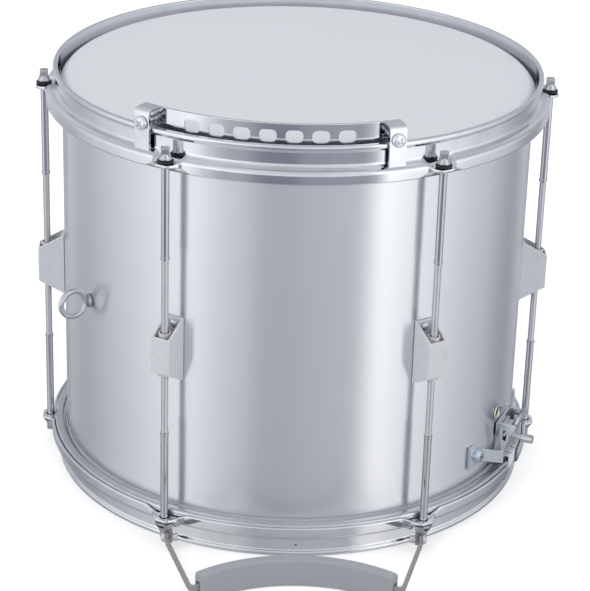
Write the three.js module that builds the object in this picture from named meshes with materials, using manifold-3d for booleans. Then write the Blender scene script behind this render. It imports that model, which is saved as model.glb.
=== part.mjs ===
// A 14 by 12 inch marching snare drum with a sling rail and a folding leg rest.
// Millimetres, +Z up. The drum stands on its lower rim with the leg rest to the front, along -Y.
// Azimuths are in degrees, measured round the drum's axis from the front towards +X.

import * as THREE from 'three';
import { mergeVertices } from 'three/addons/utils/BufferGeometryUtils.js';
import Module from 'manifold-3d';

const wasm = await Module();
wasm.setup();

// Driving dimensions

const seatGap = 0.3;
const overrun = 4;
const weldTolerance = 0.0001;

const shell = {
  radius: 177.8,
  wall: 2,
  depth: 304.8,
  edgeReach: 3.4,
  edgeRise: 4.4,
};

const head = {
  film: 0.4,
  collarGap: 0.4,
  crownInset: 3,
  crownDrop: 4.4,
};

const fleshHoop = {
  width: 7.8,
  height: 5.4,
  bevel: 1.6,
};

const hoop = {
  sheet: 2.2,
  rimRise: 7.6,
  wallGap: 1.9,
  lipReach: 1.9,
  lipHeight: 4.4,
  lipRound: 1.2,
  wallDepth: 15.2,
  shoulderDrop: 4.6,
  skirtDepth: 26,
  skirtGap: 1.2,
  earDepth: 19.8,
  earWallRound: 1.6,
  earReach: 6.2,
  earHalfWidth: 7,
  earFlare: 13,
  rodHoleRadius: 3.7,
  gateWidth: 26,
  gateRim: 5,
};

const rod = {
  standoff: 13.8,
  shankRadius: 2.9,
  threadRadius: 2.6,
  threadLength: 66,
  endGap: 1.5,
  flangeRadius: 4.9,
  flangeThickness: 1.3,
  headWidth: 6.2,
  headHeight: 7.6,
};

const washer = {
  radius: 5.9,
  boreRadius: 3.3,
  thickness: 2,
};

const lug = {
  drop: 5,
  width: 15.6,
  wall: 1.8,
  frontWall: 1.2,
  depth: 20.2,
  rearHeight: 49.8,
  frontHeight: 27.4,
  bridge: 7,
  studRadius: 2.3,
  studSpacing: 38,
  studInset: 4,
};

const nut = {
  radius: 4.7,
  boreRadius: 3.3,
  length: 34,
  collarRadius: 5.2,
  collarHeight: 3,
};

const rail = {
  wallGap: 4.3,
  sheet: 2.2,
  height: 19,
  headGap: 1.1,
  slotLength: 12.2,
  slotHeight: 9,
  slotRound: 3.4,
  slotPitchAngle: 5.918,
  slotRise: 9.8,
  firstSlotAzimuth: -26.3,
  slots: 7,
  leftClampAzimuth: -37,
  rightClampAzimuth: 19.6,
  clampWidth: 12.8,
  clampRound: 5,
  legGap: 0.4,
  legRest: 0.7,
  screwRadius: 2.4,
  screwLift: 2.9,
  screwHeadRadius: 5.1,
  screwHeadHeight: 2.6,
  screwTail: 2.4,
  nutRadius: 4.4,
  nutHeight: 3,
};

const eye = {
  azimuth: -59.6,
  rise: 2,
  ringRadius: 10,
  wireRadius: 2.15,
  rosetteRadius: 5.3,
  rosetteHeight: 2.4,
  shankRadius: 2.5,
  nutRadius: 4.6,
  nutHeight: 3.4,
};

const vent = {
  azimuth: 61.4,
  footGap: 6.5,
  boreRadius: 3.6,
  barrelRadius: 4.6,
  flangeRadius: 6.5,
  flangeHeight: 1,
};

const strainer = {
  azimuth: 66,
  sheet: 2,
  width: 31.6,
  bottom: 28.4,
  top: 62.5,
  lowReach: 7.4,
  lowerSlopeShare: 0.287,
  upperSlopeShare: 0.51,
  lowHeight: 39.5,
  midHeight: 50.3,
  topHeight: 60.5,
  footSpan: 18.4,
  footWidth: 20,
  footBottom: 38.8,
  footHeight: 18.8,
  armReach: 6.4,
  armHeight: 10.6,
  armRise: 11.4,
  armLap: 2,
  screwRadius: 5.5,
  screwHeight: 2.4,
  slotWidth: 2.8,
  slotBottom: 48,
  slotHeight: 9,
  slotReach: 7.1,
};

const lever = {
  sheet: 1.9,
  gap: 0.5,
  pivotReach: 4.9,
  pivotHeight: 31.5,
  pivotRadius: 1.3,
  eyeRadius: 2.4,
  legWidth: 4,
  legTop: 38.2,
  tipHeight: 68.5,
  tipReach: 17.6,
};

const carriage = {
  width: 16,
  sheet: 1.8,
  bottom: 32.4,
  top: 58,
  blockBottom: 51,
  blockHeight: 5,
  axleRadius: 1,
  jawBottom: 32.9,
  jawHeight: 3.4,
  jawSheet: 1.7,
};

const thumbScrew = {
  height: 46,
  neckRadius: 2,
  neckReach: 16.4,
  collarRadius: 3.2,
  collarHeight: 1.2,
  knobRadius: 3.3,
  knobLength: 9.2,
  innerReach: 5.8,
};

const snares = {
  strands: 12,
  strandRadius: 0.65,
  pitch: 3.1,
  plateLength: 11,
  plateSheet: 1.3,
  plateMargin: 1.6,
  strapWidth: 14.6,
  strapSheet: 0.8,
  endInset: 14.8,
  headGap: 0.35,
  drop: 2.4,
};

const butt = {
  width: 34,
  sheet: 2,
  bottom: 29,
  height: 21,
  jawGap: 0.5,
  jawWidth: 20,
  jawHeight: 9,
  jawSheet: 2.4,
  screwRadius: 2.6,
  screwHeight: 2,
};

const legRest = {
  padHeight: 21.5,
  padThickness: 9,
  padRound: 2.8,
  padRadius: 113.1,
  padHalfAngle: 38,
  padReach: 45.5,
  slotThickness: 4.2,
  slotHeight: 9,
  barThickness: 2.6,
  barHeight: 4.6,
  hingeReach: 10.07,
  armInset: 2.5,
  eyeRadius: 4.5,
  eyeStraight: 7,
  bendReach: 6.6,
  boltRadius: 1.9,
  boltHeadRadius: 3.4,
  boltHeadHeight: 1.8,
  nutRadius: 2.8,
  nutHeight: 4,
  bracketSheet: 2.2,
  bracketRadius: 7.2,
  tabFront: 3.2,
  tabBack: 2.6,
  tabBottom: 7.4,
};

// Faceting

const roundSteps = 48;
const hexSides = 6;
const rodSides = 8;
const smallSides = 10;
const eyeSteps = 12;
const arcSteps = 3;
const padSteps = 10;
const slotSteps = 2;

// Derived levels and radii, from the drum's mid height unless a name says otherwise

const overallHeight = shell.depth + 2 * hoop.rimRise;
const midHeight = overallHeight / 2;
const edgeLevel = shell.depth / 2;
const rimLevel = edgeLevel + hoop.rimRise;

const collarInner = shell.radius + head.collarGap;
const collarOuter = collarInner + head.film;
const crownRadius = shell.radius - head.crownInset;
const filmUnder = edgeLevel + seatGap;
const filmTop = filmUnder + head.film;

const hoopInner = collarOuter + hoop.wallGap;
const hoopOuter = hoopInner + hoop.sheet;
const lipOuter = hoopOuter + hoop.lipReach;

const fleshInner = collarOuter + seatGap;
const fleshOuter = fleshInner + fleshHoop.width;
const fleshTop = rimLevel - hoop.earDepth - hoop.sheet - seatGap;
const fleshBottom = fleshTop - fleshHoop.height;

const skirtInner = fleshOuter + hoop.skirtGap;
const skirtOuter = skirtInner + hoop.sheet;
const rodCircle = shell.radius + rod.standoff;
const earOuter = rodCircle + hoop.earReach;

const lugLevel = midHeight - lug.drop;
const lugBack = shell.radius + seatGap;
const lugFront = lugBack + lug.depth;

const ventLevel = strainer.footBottom + strainer.footHeight + vent.footGap + vent.flangeRadius;

const stations = [
  { name: 'front_left', azimuth: -30 },
  { name: 'front_right', azimuth: 30 },
  { name: 'right', azimuth: 90 },
  { name: 'rear_right', azimuth: 150 },
  { name: 'rear_left', azimuth: 210 },
  { name: 'left', azimuth: 270 },
];

// Finishes

const finish = (color, metalness, roughness) => new THREE.MeshStandardMaterial({ color, metalness, roughness });
const aluminium = finish(0xc3c7ce, 0.9, 0.35);
const chrome = finish(0xd8dbe0, 1, 0.08);
const lugGrey = finish(0xc6cbcf, 0.6, 0.4);
const zinc = finish(0xb4bac0, 1, 0.25);
const steelGrey = finish(0x8f9092, 0.8, 0.45);
const nutCream = finish(0xd9d2b8, 0.5, 0.45);
const brass = finish(0xb7a570, 1, 0.25);
const blackRubber = finish(0x17181a, 0, 0.6);
const coatedFilm = finish(0xd6dadd, 0, 0.6);
const clearFilm = finish(0xdfe2e3, 0, 0.35);
const padGrey = finish(0x9da4aa, 0, 0.65);
const strapGrey = finish(0xc9ccc8, 0, 0.5);

// Solid helpers

const radians = THREE.MathUtils.degToRad;
const degrees = THREE.MathUtils.radToDeg;

function signedVolume(position, index) {
  const [a, b, c] = [new THREE.Vector3(), new THREE.Vector3(), new THREE.Vector3()];
  let sum = 0;
  for (let i = 0; i < index.length; i += 3) {
    a.fromBufferAttribute(position, index[i]);
    b.fromBufferAttribute(position, index[i + 1]);
    c.fromBufferAttribute(position, index[i + 2]);
    sum += a.dot(b.cross(c));
  }
  return sum;
}

// Welds a geometry, drops its collapsed triangles and turns its faces outwards.
function weld(geometry) {
  const bare = new THREE.BufferGeometry();
  bare.setAttribute('position', geometry.getAttribute('position'));
  bare.setIndex(geometry.getIndex());
  const merged = mergeVertices(bare, weldTolerance);
  const source = merged.getIndex().array;
  const kept = [];
  for (let i = 0; i < source.length; i += 3) {
    const [a, b, c] = [source[i], source[i + 1], source[i + 2]];
    if (a !== b && b !== c && c !== a) kept.push(a, b, c);
  }
  if (signedVolume(merged.getAttribute('position'), kept) < 0) kept.reverse();
  merged.setIndex(kept);
  return merged;
}

function toSolid(geometry) {
  const welded = weld(geometry);
  return new wasm.Manifold(new wasm.Mesh({
    numProp: 3,
    vertProperties: new Float32Array(welded.getAttribute('position').array),
    triVerts: new Uint32Array(welded.getIndex().array),
  }));
}

function fromSolid(solid) {
  const mesh = solid.getMesh();
  const geometry = new THREE.BufferGeometry();
  geometry.setAttribute('position', new THREE.BufferAttribute(mesh.vertProperties, 3));
  geometry.setIndex(new THREE.BufferAttribute(mesh.triVerts, 1));
  return geometry;
}

const join = (...pieces) => fromSolid(pieces.map(toSolid).reduce((sum, next) => sum.add(next)));
const cut = (base, ...tools) => fromSolid(tools.map(toSolid).reduce((rest, tool) => rest.subtract(tool), toSolid(base)));

// Piece makers, in a station's frame: x runs round the drum, -y is outwards, z is up

const box = (width, depth, height) => new THREE.BoxGeometry(width, depth, height);
const post = (radius, length, sides) => new THREE.CylinderGeometry(radius, radius, length, sides).rotateX(Math.PI / 2);
const radialPin = (radius, length, sides) => new THREE.CylinderGeometry(radius, radius, length, sides);
const crossPin = (radius, length, sides) => new THREE.CylinderGeometry(radius, radius, length, sides).rotateZ(Math.PI / 2);

// A post from one level to another.
const postBetween = (radius, low, high, sides) => post(radius, high - low, sides).translate(0, 0, (low + high) / 2);

// A pin along the radius from one reach to another.
const pinBetween = (radius, inner, outer, sides) => radialPin(radius, outer - inner, sides).translate(0, -(inner + outer) / 2, 0);

// Turns (radius, height) pairs round the z axis.
function revolve(outline, steps) {
  const points = outline.map(([radius, height]) => new THREE.Vector2(radius, height));
  return new THREE.LatheGeometry(points, steps).rotateX(Math.PI / 2);
}

const ring = (inner, outer, low, high, steps) =>
  revolve([[inner, low], [outer, low], [outer, high], [inner, high], [inner, low]], steps);

// Extrudes a (reach, height) outline across the station, centred on it.
function crosswise(outline, width) {
  const shape = new THREE.Shape(outline.map(([reach, height]) => new THREE.Vector2(reach, height)));
  const geometry = new THREE.ExtrudeGeometry(shape, { depth: width, bevelEnabled: false });
  const toStation = new THREE.Matrix4().set(
    0, 0, 1, -width / 2,
    -1, 0, 0, 0,
    0, 1, 0, 0,
    0, 0, 0, 1,
  );
  return geometry.applyMatrix4(toStation);
}

const anglesBetween = (start, end, steps) =>
  Array.from({ length: steps + 1 }, (_, i) => start + ((end - start) * i) / steps);

// Sweeps a closed (radius, height) outline through azimuths.
function sector(outline, azimuths) {
  const count = outline.length;
  const steps = azimuths.length - 1;
  const positions = [];
  for (const azimuth of azimuths) {
    const angle = radians(azimuth);
    for (const [radius, height] of outline) {
      positions.push(radius * Math.sin(angle), -radius * Math.cos(angle), height);
    }
  }
  const index = [];
  for (let step = 0; step < steps; step += 1) {
    for (let i = 0; i < count; i += 1) {
      const a = step * count + i;
      const b = step * count + ((i + 1) % count);
      index.push(a, b, b + count, a, b + count, a + count);
    }
  }
  const flat = outline.map(([radius, height]) => new THREE.Vector2(radius, height));
  for (const [a, b, c] of THREE.ShapeUtils.triangulateShape(flat, [])) {
    const last = steps * count;
    index.push(a, c, b, last + a, last + b, last + c);
  }
  const geometry = new THREE.BufferGeometry();
  geometry.setAttribute('position', new THREE.Float32BufferAttribute(positions, 3));
  geometry.setIndex(index);
  return geometry;
}

const block = (inner, outer, low, high) => [[inner, low], [outer, low], [outer, high], [inner, high]];

// A rectangle of points with rounded corners.
function roundedBlock(inner, outer, low, high, radius, steps) {
  const corners = [
    [inner + radius, low + radius, 180],
    [outer - radius, low + radius, 270],
    [outer - radius, high - radius, 0],
    [inner + radius, high - radius, 90],
  ];
  return corners.flatMap(([x, y, start]) => Array.from({ length: steps + 1 }, (_, i) => {
    const angle = radians(start + (90 * i) / steps);
    return [x + radius * Math.cos(angle), y + radius * Math.sin(angle)];
  }));
}

// Thickens a plan polyline into an upright strip.
function ribbon(path, thickness, height) {
  const half = thickness / 2;
  const sides = path.map((point, i) => {
    const before = path[Math.max(i - 1, 0)];
    const after = path[Math.min(i + 1, path.length - 1)];
    const into = i > 0 ? point.clone().sub(before).normalize() : after.clone().sub(point).normalize();
    const out = i < path.length - 1 ? after.clone().sub(point).normalize() : into.clone();
    const normal = new THREE.Vector2(-into.y - out.y, into.x + out.x).normalize();
    const reach = half / normal.dot(new THREE.Vector2(-into.y, into.x));
    return normal.multiplyScalar(reach);
  });
  const left = path.map((point, i) => point.clone().add(sides[i]));
  const right = path.map((point, i) => point.clone().sub(sides[i]));
  const shape = new THREE.Shape([...left, ...right.reverse()]);
  return new THREE.ExtrudeGeometry(shape, { depth: height, bevelEnabled: false }).translate(0, 0, -height / 2);
}

const drum = new THREE.Group();

function piece(name, geometry, material) {
  const mesh = new THREE.Mesh(weld(geometry), material);
  mesh.name = name;
  return mesh;
}

// A group turned to a place round the drum.
function stationAt(azimuth, parent = drum) {
  const group = new THREE.Group();
  group.rotation.z = radians(azimuth);
  parent.add(group);
  return group;
}

// Shell: a sheet cylinder whose edges turn inwards to carry the heads

function shellGeometry() {
  const inner = shell.radius - shell.wall;
  const edge = shell.radius - shell.edgeReach;
  const slope = shell.wall * Math.SQRT1_2;
  const half = [
    [shell.radius, edgeLevel - shell.edgeRise],
    [edge, edgeLevel],
    [edge - slope, edgeLevel - slope],
    [inner, edgeLevel - shell.edgeRise - slope],
  ];
  const lower = half.map(([radius, height]) => [radius, -height]).reverse();
  const outline = [...half, ...lower, half[0]];
  const body = revolve(outline, roundSteps).translate(0, 0, midHeight);
  const hole = (azimuth, height, radius, sides) =>
    pinBetween(radius, inner - overrun, shell.radius + overrun, sides).translate(0, 0, height).rotateZ(radians(azimuth));
  const studHoles = stations.flatMap(({ azimuth }) => [-1, 1].map((side) =>
    hole(azimuth, lugLevel + (side * lug.studSpacing) / 2, lug.studRadius + seatGap, hexSides)));
  const footAzimuth = footCentre();
  const screwLevel = strainer.footBottom + strainer.footHeight / 2;
  const footHoles = [-1, 1].map((side) =>
    hole(strainer.azimuth + side * footAzimuth, screwLevel, rod.threadRadius, rodSides));
  const buttHoles = [-1, 1].map((side) => hole(
    strainer.azimuth + 180 + side * buttScrewAzimuth(), butt.bottom + butt.height / 2, rod.threadRadius, rodSides));
  return cut(
    body,
    ...studHoles,
    ...footHoles,
    ...buttHoles,
    hole(eye.azimuth, midHeight + eye.rise, eye.shankRadius + seatGap, rodSides),
    hole(vent.azimuth, ventLevel, vent.barrelRadius + seatGap, smallSides),
  );
}

// Half angle from the strainer's middle to the middle of one of its feet.
function footCentre() {
  return strainer.footSpan - degrees(strainer.footWidth / shell.radius) / 2;
}

function buttScrewAzimuth() {
  return degrees((butt.width + butt.jawWidth) / 4 / shell.radius);
}

// Head: a film stretched over the bearing edge, with a collar that ends inside its flesh hoop

function filmGeometry() {
  return revolve([
    [0, filmTop],
    [crownRadius, filmTop],
    [collarOuter, filmTop - head.crownDrop],
    [collarOuter, fleshBottom],
    [collarInner, fleshBottom],
    [collarInner, filmUnder - head.crownDrop],
    [crownRadius, filmUnder],
    [0, filmUnder],
  ], roundSteps);
}

// The flesh hoop: a bar whose outer edge is bevelled towards the shell, where it shows.
function fleshHoopGeometry() {
  return revolve([
    [fleshInner, fleshBottom],
    [fleshOuter - fleshHoop.bevel, fleshBottom],
    [fleshOuter, fleshBottom + fleshHoop.bevel],
    [fleshOuter, fleshTop],
    [fleshInner, fleshTop],
    [fleshInner, fleshBottom],
  ], roundSteps);
}

// Counterhoop: one bent sheet whose skirt flares out into an ear at each tension rod.
// Each row gives a point between the ears and the same point at an ear, as (radius, depth below the rim).

function hoopRows() {
  const { sheet, lipHeight, lipRound, wallDepth, shoulderDrop, skirtDepth, earDepth, earWallRound } = hoop;
  const span = skirtOuter - hoopOuter;
  const shoulderDepth = wallDepth + shoulderDrop;
  const earUnder = earDepth + sheet;
  const innerDepth = wallDepth + sheet;
  const same = (radius, depth) => [[radius, depth], [radius, depth]];
  const crestShare = 0.23;
  const brinkShare = 0.8;
  const crestDropShare = 0.33;
  const brinkDropShare = 0.6;
  return [
    same(hoopInner, 0),
    same(lipOuter - lipRound, 0),
    same(lipOuter, lipRound),
    same(hoopOuter, lipHeight),
    [[hoopOuter, wallDepth], [hoopOuter, earDepth - earWallRound]],
    [
      [hoopOuter + crestShare * span, wallDepth + crestDropShare * shoulderDrop],
      [hoopOuter + earWallRound, earDepth],
    ],
    [[hoopOuter + brinkShare * span, wallDepth + brinkDropShare * shoulderDrop], [skirtOuter, earDepth]],
    [[skirtOuter, shoulderDepth], [earOuter - sheet / 2, earDepth]],
    [[skirtOuter, skirtDepth], [earOuter, earDepth + sheet / 2]],
    [[skirtInner, skirtDepth], [earOuter - sheet / 2, earUnder]],
    [[skirtInner, shoulderDepth], [skirtOuter, earUnder]],
    [[hoopOuter, innerDepth + sheet / 2], [hoopOuter, earUnder]],
    [[hoopInner, innerDepth], [hoopInner, earUnder - sheet / 2]],
  ];
}

// Azimuth offsets from an ear's middle to half way to the next ear.
function hoopOffsets() {
  const flat = degrees(hoop.earHalfWidth / rodCircle);
  const flare = degrees(hoop.earFlare / rodCircle);
  const halfBay = 180 / stations.length;
  const flareSteps = 2;
  return [
    ...anglesBetween(flat, flat + flare, flareSteps),
    ...anglesBetween(flat + flare, halfBay, arcSteps).slice(1),
  ];
}

// How far the section at an offset has turned into the ear's, from 0 to 1.
function earShare(offset) {
  const flat = degrees(hoop.earHalfWidth / rodCircle);
  const flare = degrees(hoop.earFlare / rodCircle);
  return 1 - THREE.MathUtils.smoothstep(Math.abs(offset), flat, flat + flare);
}

function hoopGeometry(gateAzimuths) {
  const rows = hoopRows();
  const offsets = hoopOffsets();
  const around = [...offsets.slice(0, -1).reverse().map((offset) => -offset), ...offsets];
  const positions = [];
  for (const { azimuth } of stations) {
    for (const offset of around) {
      const share = earShare(offset);
      const angle = radians(azimuth + offset);
      for (const [plain, ear] of rows) {
        const radius = THREE.MathUtils.lerp(plain[0], ear[0], share);
        const depth = THREE.MathUtils.lerp(plain[1], ear[1], share);
        positions.push(radius * Math.sin(angle), -radius * Math.cos(angle), rimLevel - depth);
      }
    }
  }
  const count = rows.length;
  const columns = around.length * stations.length;
  const index = [];
  for (let column = 0; column < columns; column += 1) {
    const next = (column + 1) % columns;
    for (let i = 0; i < count; i += 1) {
      const j = (i + 1) % count;
      const [a, b, c, d] = [column * count + i, column * count + j, next * count + j, next * count + i];
      index.push(a, b, c, a, c, d);
    }
  }
  const body = new THREE.BufferGeometry();
  body.setAttribute('position', new THREE.Float32BufferAttribute(positions, 3));
  body.setIndex(index);
  const rodHoles = stations.map(({ azimuth }) =>
    postBetween(hoop.rodHoleRadius, rimLevel - hoop.skirtDepth - overrun, rimLevel - hoop.earDepth + overrun, rodSides)
      .translate(0, -rodCircle, 0)
      .rotateZ(radians(azimuth)));
  const gateDepth = hoop.skirtDepth + overrun - hoop.gateRim;
  const gates = gateAzimuths.map((azimuth) =>
    box(hoop.gateWidth, skirtOuter - hoopInner + 2 * overrun, gateDepth)
      .translate(0, -(hoopInner + skirtOuter) / 2, rimLevel - hoop.gateRim - gateDepth / 2)
      .rotateZ(radians(azimuth)));
  return cut(body, ...rodHoles, ...gates);
}

// Tension rods and their washers, on the rod's own axis. The lift is what lies between ear and washer.

const earTop = rimLevel - hoop.earDepth;

function washerGeometry(lift) {
  const low = earTop + lift + seatGap;
  return ring(washer.boreRadius, washer.radius, low, low + washer.thickness, rodSides).translate(0, -rodCircle, 0);
}

function rodGeometry(lift) {
  const flange = earTop + lift + washer.thickness + 2 * seatGap;
  const top = flange + rod.flangeThickness;
  const step = rod.endGap + rod.threadLength;
  const stem = revolve([
    [0, rod.endGap],
    [rod.threadRadius, rod.endGap],
    [rod.threadRadius, step],
    [rod.shankRadius, step],
    [rod.shankRadius, flange],
    [rod.flangeRadius, flange],
    [rod.shankRadius, top],
    [0, top],
  ], rodSides);
  const square = box(rod.headWidth, rod.headWidth, rod.headHeight + rod.flangeThickness / 2)
    .translate(0, 0, top + rod.headHeight / 2 - rod.flangeThickness / 4);
  return join(stem, square).translate(0, -rodCircle, 0);
}

// One end of the drum. The snare end is the same set turned over.

function addEnd(group, side, hoopGates, film, liftAt) {
  const plain = new THREE.Group();
  group.add(plain);
  plain.add(
    piece(`${side}_head`, filmGeometry(), film),
    piece(`${side}_flesh_hoop`, fleshHoopGeometry(), aluminium),
    piece(`${side}_hoop`, hoopGeometry(hoopGates), chrome),
  );
  const turned = side === 'snare';
  for (const { name, azimuth } of stations) {
    const station = stationAt(turned ? 180 - azimuth : azimuth, group);
    const lift = liftAt(name);
    station.add(
      piece(`${side}_rod_${name}`, rodGeometry(lift), zinc),
      piece(`${side}_washer_${name}`, washerGeometry(lift), blackRubber),
    );
  }
}

const batterEnd = new THREE.Group();
batterEnd.position.z = midHeight;
drum.add(batterEnd);
addEnd(batterEnd, 'batter', [], coatedFilm, () => 0);

const snareEnd = new THREE.Group();
snareEnd.position.z = midHeight;
snareEnd.rotation.x = Math.PI;
drum.add(snareEnd);
const bracketLift = legRest.bracketSheet + seatGap;
const snareGates = [180 - strainer.azimuth, -strainer.azimuth];
addEnd(snareEnd, 'snare', snareGates, clearFilm, (name) => (name.startsWith('front') ? bracketLift : 0));

// Lugs: slant-ended box castings, open top and bottom, with a bridge that holds a through-threaded nut

function lugGeometry() {
  const outline = [
    [lugBack, lugLevel - lug.rearHeight / 2],
    [lugFront, lugLevel - lug.frontHeight / 2],
    [lugFront, lugLevel + lug.frontHeight / 2],
    [lugBack, lugLevel + lug.rearHeight / 2],
  ];
  const pocketHeight = (lug.rearHeight - lug.bridge) / 2 + overrun;
  const pocketBack = lugBack + lug.wall;
  const pocketFront = lugFront - lug.frontWall;
  const pocket = (side) => box(lug.width - 2 * lug.wall, pocketFront - pocketBack, pocketHeight)
    .translate(0, -(pocketBack + pocketFront) / 2, lugLevel + (side * (lug.bridge + pocketHeight)) / 2);
  const bore = post(nut.radius + seatGap, lug.bridge + 2 * overrun, rodSides).translate(0, -rodCircle, lugLevel);
  const studInner = shell.radius - shell.wall - lug.studInset;
  const stud = (side) => pinBetween(lug.studRadius, studInner, lugBack + lug.wall / 2, hexSides)
    .translate(0, 0, lugLevel + (side * lug.studSpacing) / 2);
  return join(cut(crosswise(outline, lug.width), pocket(-1), pocket(1), bore), stud(-1), stud(1));
}

function nutGeometry() {
  const half = nut.length / 2;
  const seat = lug.bridge / 2 + seatGap;
  return revolve([
    [nut.boreRadius, -half],
    [nut.radius, -half],
    [nut.radius, seat],
    [nut.collarRadius, seat],
    [nut.collarRadius, seat + nut.collarHeight],
    [nut.radius, seat + nut.collarHeight],
    [nut.radius, half],
    [nut.boreRadius, half],
    [nut.boreRadius, -half],
  ], rodSides).translate(0, -rodCircle, lugLevel);
}

for (const { name, azimuth } of stations) {
  stationAt(azimuth).add(
    piece(`lug_${name}`, lugGeometry(), lugGrey),
    piece(`lug_nut_${name}`, nutGeometry(), nutCream),
  );
}

drum.add(piece('shell', shellGeometry(), aluminium));

// Sling rail: a slotted curved strip inside the batter hoop, with two tabs bent over the rim

const railOuter = hoopInner - rail.wallGap;
const railInner = railOuter - rail.sheet;
const railBottom = midHeight + filmTop + rail.headGap;
const railTop = railBottom + rail.height;
const slotLevel = railBottom + rail.slotRise;
const clampReach = lipOuter + rail.legGap;
const clampOuter = clampReach + rail.sheet;
const screwLevel = overallHeight + rail.screwLift;
const clampHalfAngle = degrees(rail.clampWidth / 2 / railOuter);

function clampOutline() {
  const legBottom = overallHeight - hoop.wallDepth - hoop.shoulderDrop / 2 + rail.legRest;
  const roofUnder = railTop - rail.sheet;
  return [
    [railInner, roofUnder],
    [clampReach, roofUnder],
    [clampReach, legBottom],
    [clampOuter, legBottom],
    [clampOuter, railTop - rail.clampRound],
    [clampOuter - rail.clampRound * (1 - Math.SQRT1_2), railTop - rail.clampRound * (1 - Math.SQRT1_2)],
    [clampOuter - rail.clampRound, railTop],
    [railInner, railTop],
  ];
}

function slotCutter() {
  const [halfLength, halfHeight] = [rail.slotLength / 2, rail.slotHeight / 2];
  const outline = roundedBlock(-halfLength, halfLength, -halfHeight, halfHeight, rail.slotRound, slotSteps);
  const shape = new THREE.Shape(outline.map(([x, y]) => new THREE.Vector2(x, y)));
  const depth = rail.sheet + 2 * overrun;
  return new THREE.ExtrudeGeometry(shape, { depth, bevelEnabled: false })
    .rotateX(Math.PI / 2)
    .translate(0, -railInner + overrun, 0);
}

function railGeometry() {
  const slotsStart = rail.firstSlotAzimuth - rail.slotPitchAngle / 2;
  const slotsEnd = slotsStart + rail.slots * rail.slotPitchAngle;
  const strip = sector(block(railInner, railOuter, railBottom, railTop), [
    ...anglesBetween(rail.leftClampAzimuth - clampHalfAngle, slotsStart, 2),
    ...anglesBetween(slotsStart, slotsEnd, rail.slots).slice(1),
    ...anglesBetween(slotsEnd, rail.rightClampAzimuth + clampHalfAngle, 2).slice(1),
  ]);
  const clamps = [rail.leftClampAzimuth, rail.rightClampAzimuth];
  const tabs = clamps.map((azimuth) => crosswise(clampOutline(), rail.clampWidth).rotateZ(radians(azimuth)));
  const holes = clamps.map((azimuth) =>
    pinBetween(rail.screwRadius + seatGap, railInner - overrun, clampOuter + overrun, smallSides)
      .translate(0, 0, screwLevel)
      .rotateZ(radians(azimuth)));
  const slots = Array.from({ length: rail.slots }, (_, i) =>
    slotCutter().translate(0, 0, slotLevel).rotateZ(radians(rail.firstSlotAzimuth + i * rail.slotPitchAngle)));
  return cut(join(strip, ...tabs), ...holes, ...slots);
}

function railScrewGeometry() {
  const headFrom = clampOuter + seatGap;
  const tail = railInner - 2 * seatGap - rail.nutHeight - rail.screwTail;
  const domeShare = 0.72;
  const outline = [
    [0, tail],
    [rail.screwRadius, tail],
    [rail.screwRadius, headFrom],
    [rail.screwHeadRadius, headFrom],
    [rail.screwHeadRadius, headFrom + rail.screwHeadHeight / 2],
    [rail.screwHeadRadius * domeShare, headFrom + rail.screwHeadHeight],
    [0, headFrom + rail.screwHeadHeight],
  ];
  return revolve(outline, smallSides).rotateX(Math.PI / 2).translate(0, 0, screwLevel);
}

function railNutGeometry() {
  const outer = railInner - seatGap;
  return cut(
    pinBetween(rail.nutRadius, outer - rail.nutHeight, outer, hexSides),
    pinBetween(rail.screwRadius + seatGap, outer - rail.nutHeight - overrun, outer + overrun, smallSides),
  ).translate(0, 0, screwLevel);
}

drum.add(piece('sling_rail', railGeometry(), chrome));
for (const [side, azimuth] of [['left', rail.leftClampAzimuth], ['right', rail.rightClampAzimuth]]) {
  stationAt(azimuth).add(
    piece(`rail_screw_${side}`, railScrewGeometry(), zinc),
    piece(`rail_nut_${side}`, railNutGeometry(), zinc),
  );
}

// Eye bolt: an upright ring on a rosette, with its shank and nut through the shell

function eyeBoltGeometry() {
  const seat = shell.radius + seatGap;
  const inner = shell.radius - shell.wall - 2 * seatGap;
  const ringReach = seat + eye.rosetteHeight / 2 + eye.ringRadius + eye.wireRadius;
  const circle = anglesBetween(0, 360, rodSides).map(radians).map((angle) =>
    [eye.ringRadius + eye.wireRadius * Math.cos(angle), eye.wireRadius * Math.sin(angle)]);
  return join(
    revolve(circle, eyeSteps).rotateY(Math.PI / 2).translate(0, -ringReach, 0),
    pinBetween(eye.rosetteRadius, seat, seat + eye.rosetteHeight, smallSides),
    pinBetween(eye.shankRadius, inner - eye.nutHeight, seat + eye.rosetteHeight / 2, rodSides),
    pinBetween(eye.nutRadius, inner - eye.nutHeight, inner, hexSides),
  ).translate(0, 0, midHeight + eye.rise);
}

stationAt(eye.azimuth).add(piece('eye_bolt', eyeBoltGeometry(), chrome));

// Vent eyelet: a flanged tube through the shell

function eyeletGeometry() {
  const outer = shell.radius + seatGap;
  const inner = shell.radius - shell.wall - 2 * seatGap;
  return revolve([
    [vent.boreRadius, inner - vent.flangeHeight],
    [vent.flangeRadius, inner - vent.flangeHeight],
    [vent.flangeRadius, inner],
    [vent.barrelRadius, inner],
    [vent.barrelRadius, outer],
    [vent.flangeRadius, outer],
    [vent.barrelRadius, outer + vent.flangeHeight],
    [vent.boreRadius, outer + vent.flangeHeight],
    [vent.boreRadius, inner - vent.flangeHeight],
  ], eyeSteps).rotateX(Math.PI / 2).translate(0, 0, ventLevel);
}

stationAt(vent.azimuth).add(piece('vent_eyelet', eyeletGeometry(), brass));

// Strainer: a cheeked bracket with two feet, a throw-off lever, a sliding carriage and a thumb screw

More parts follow.
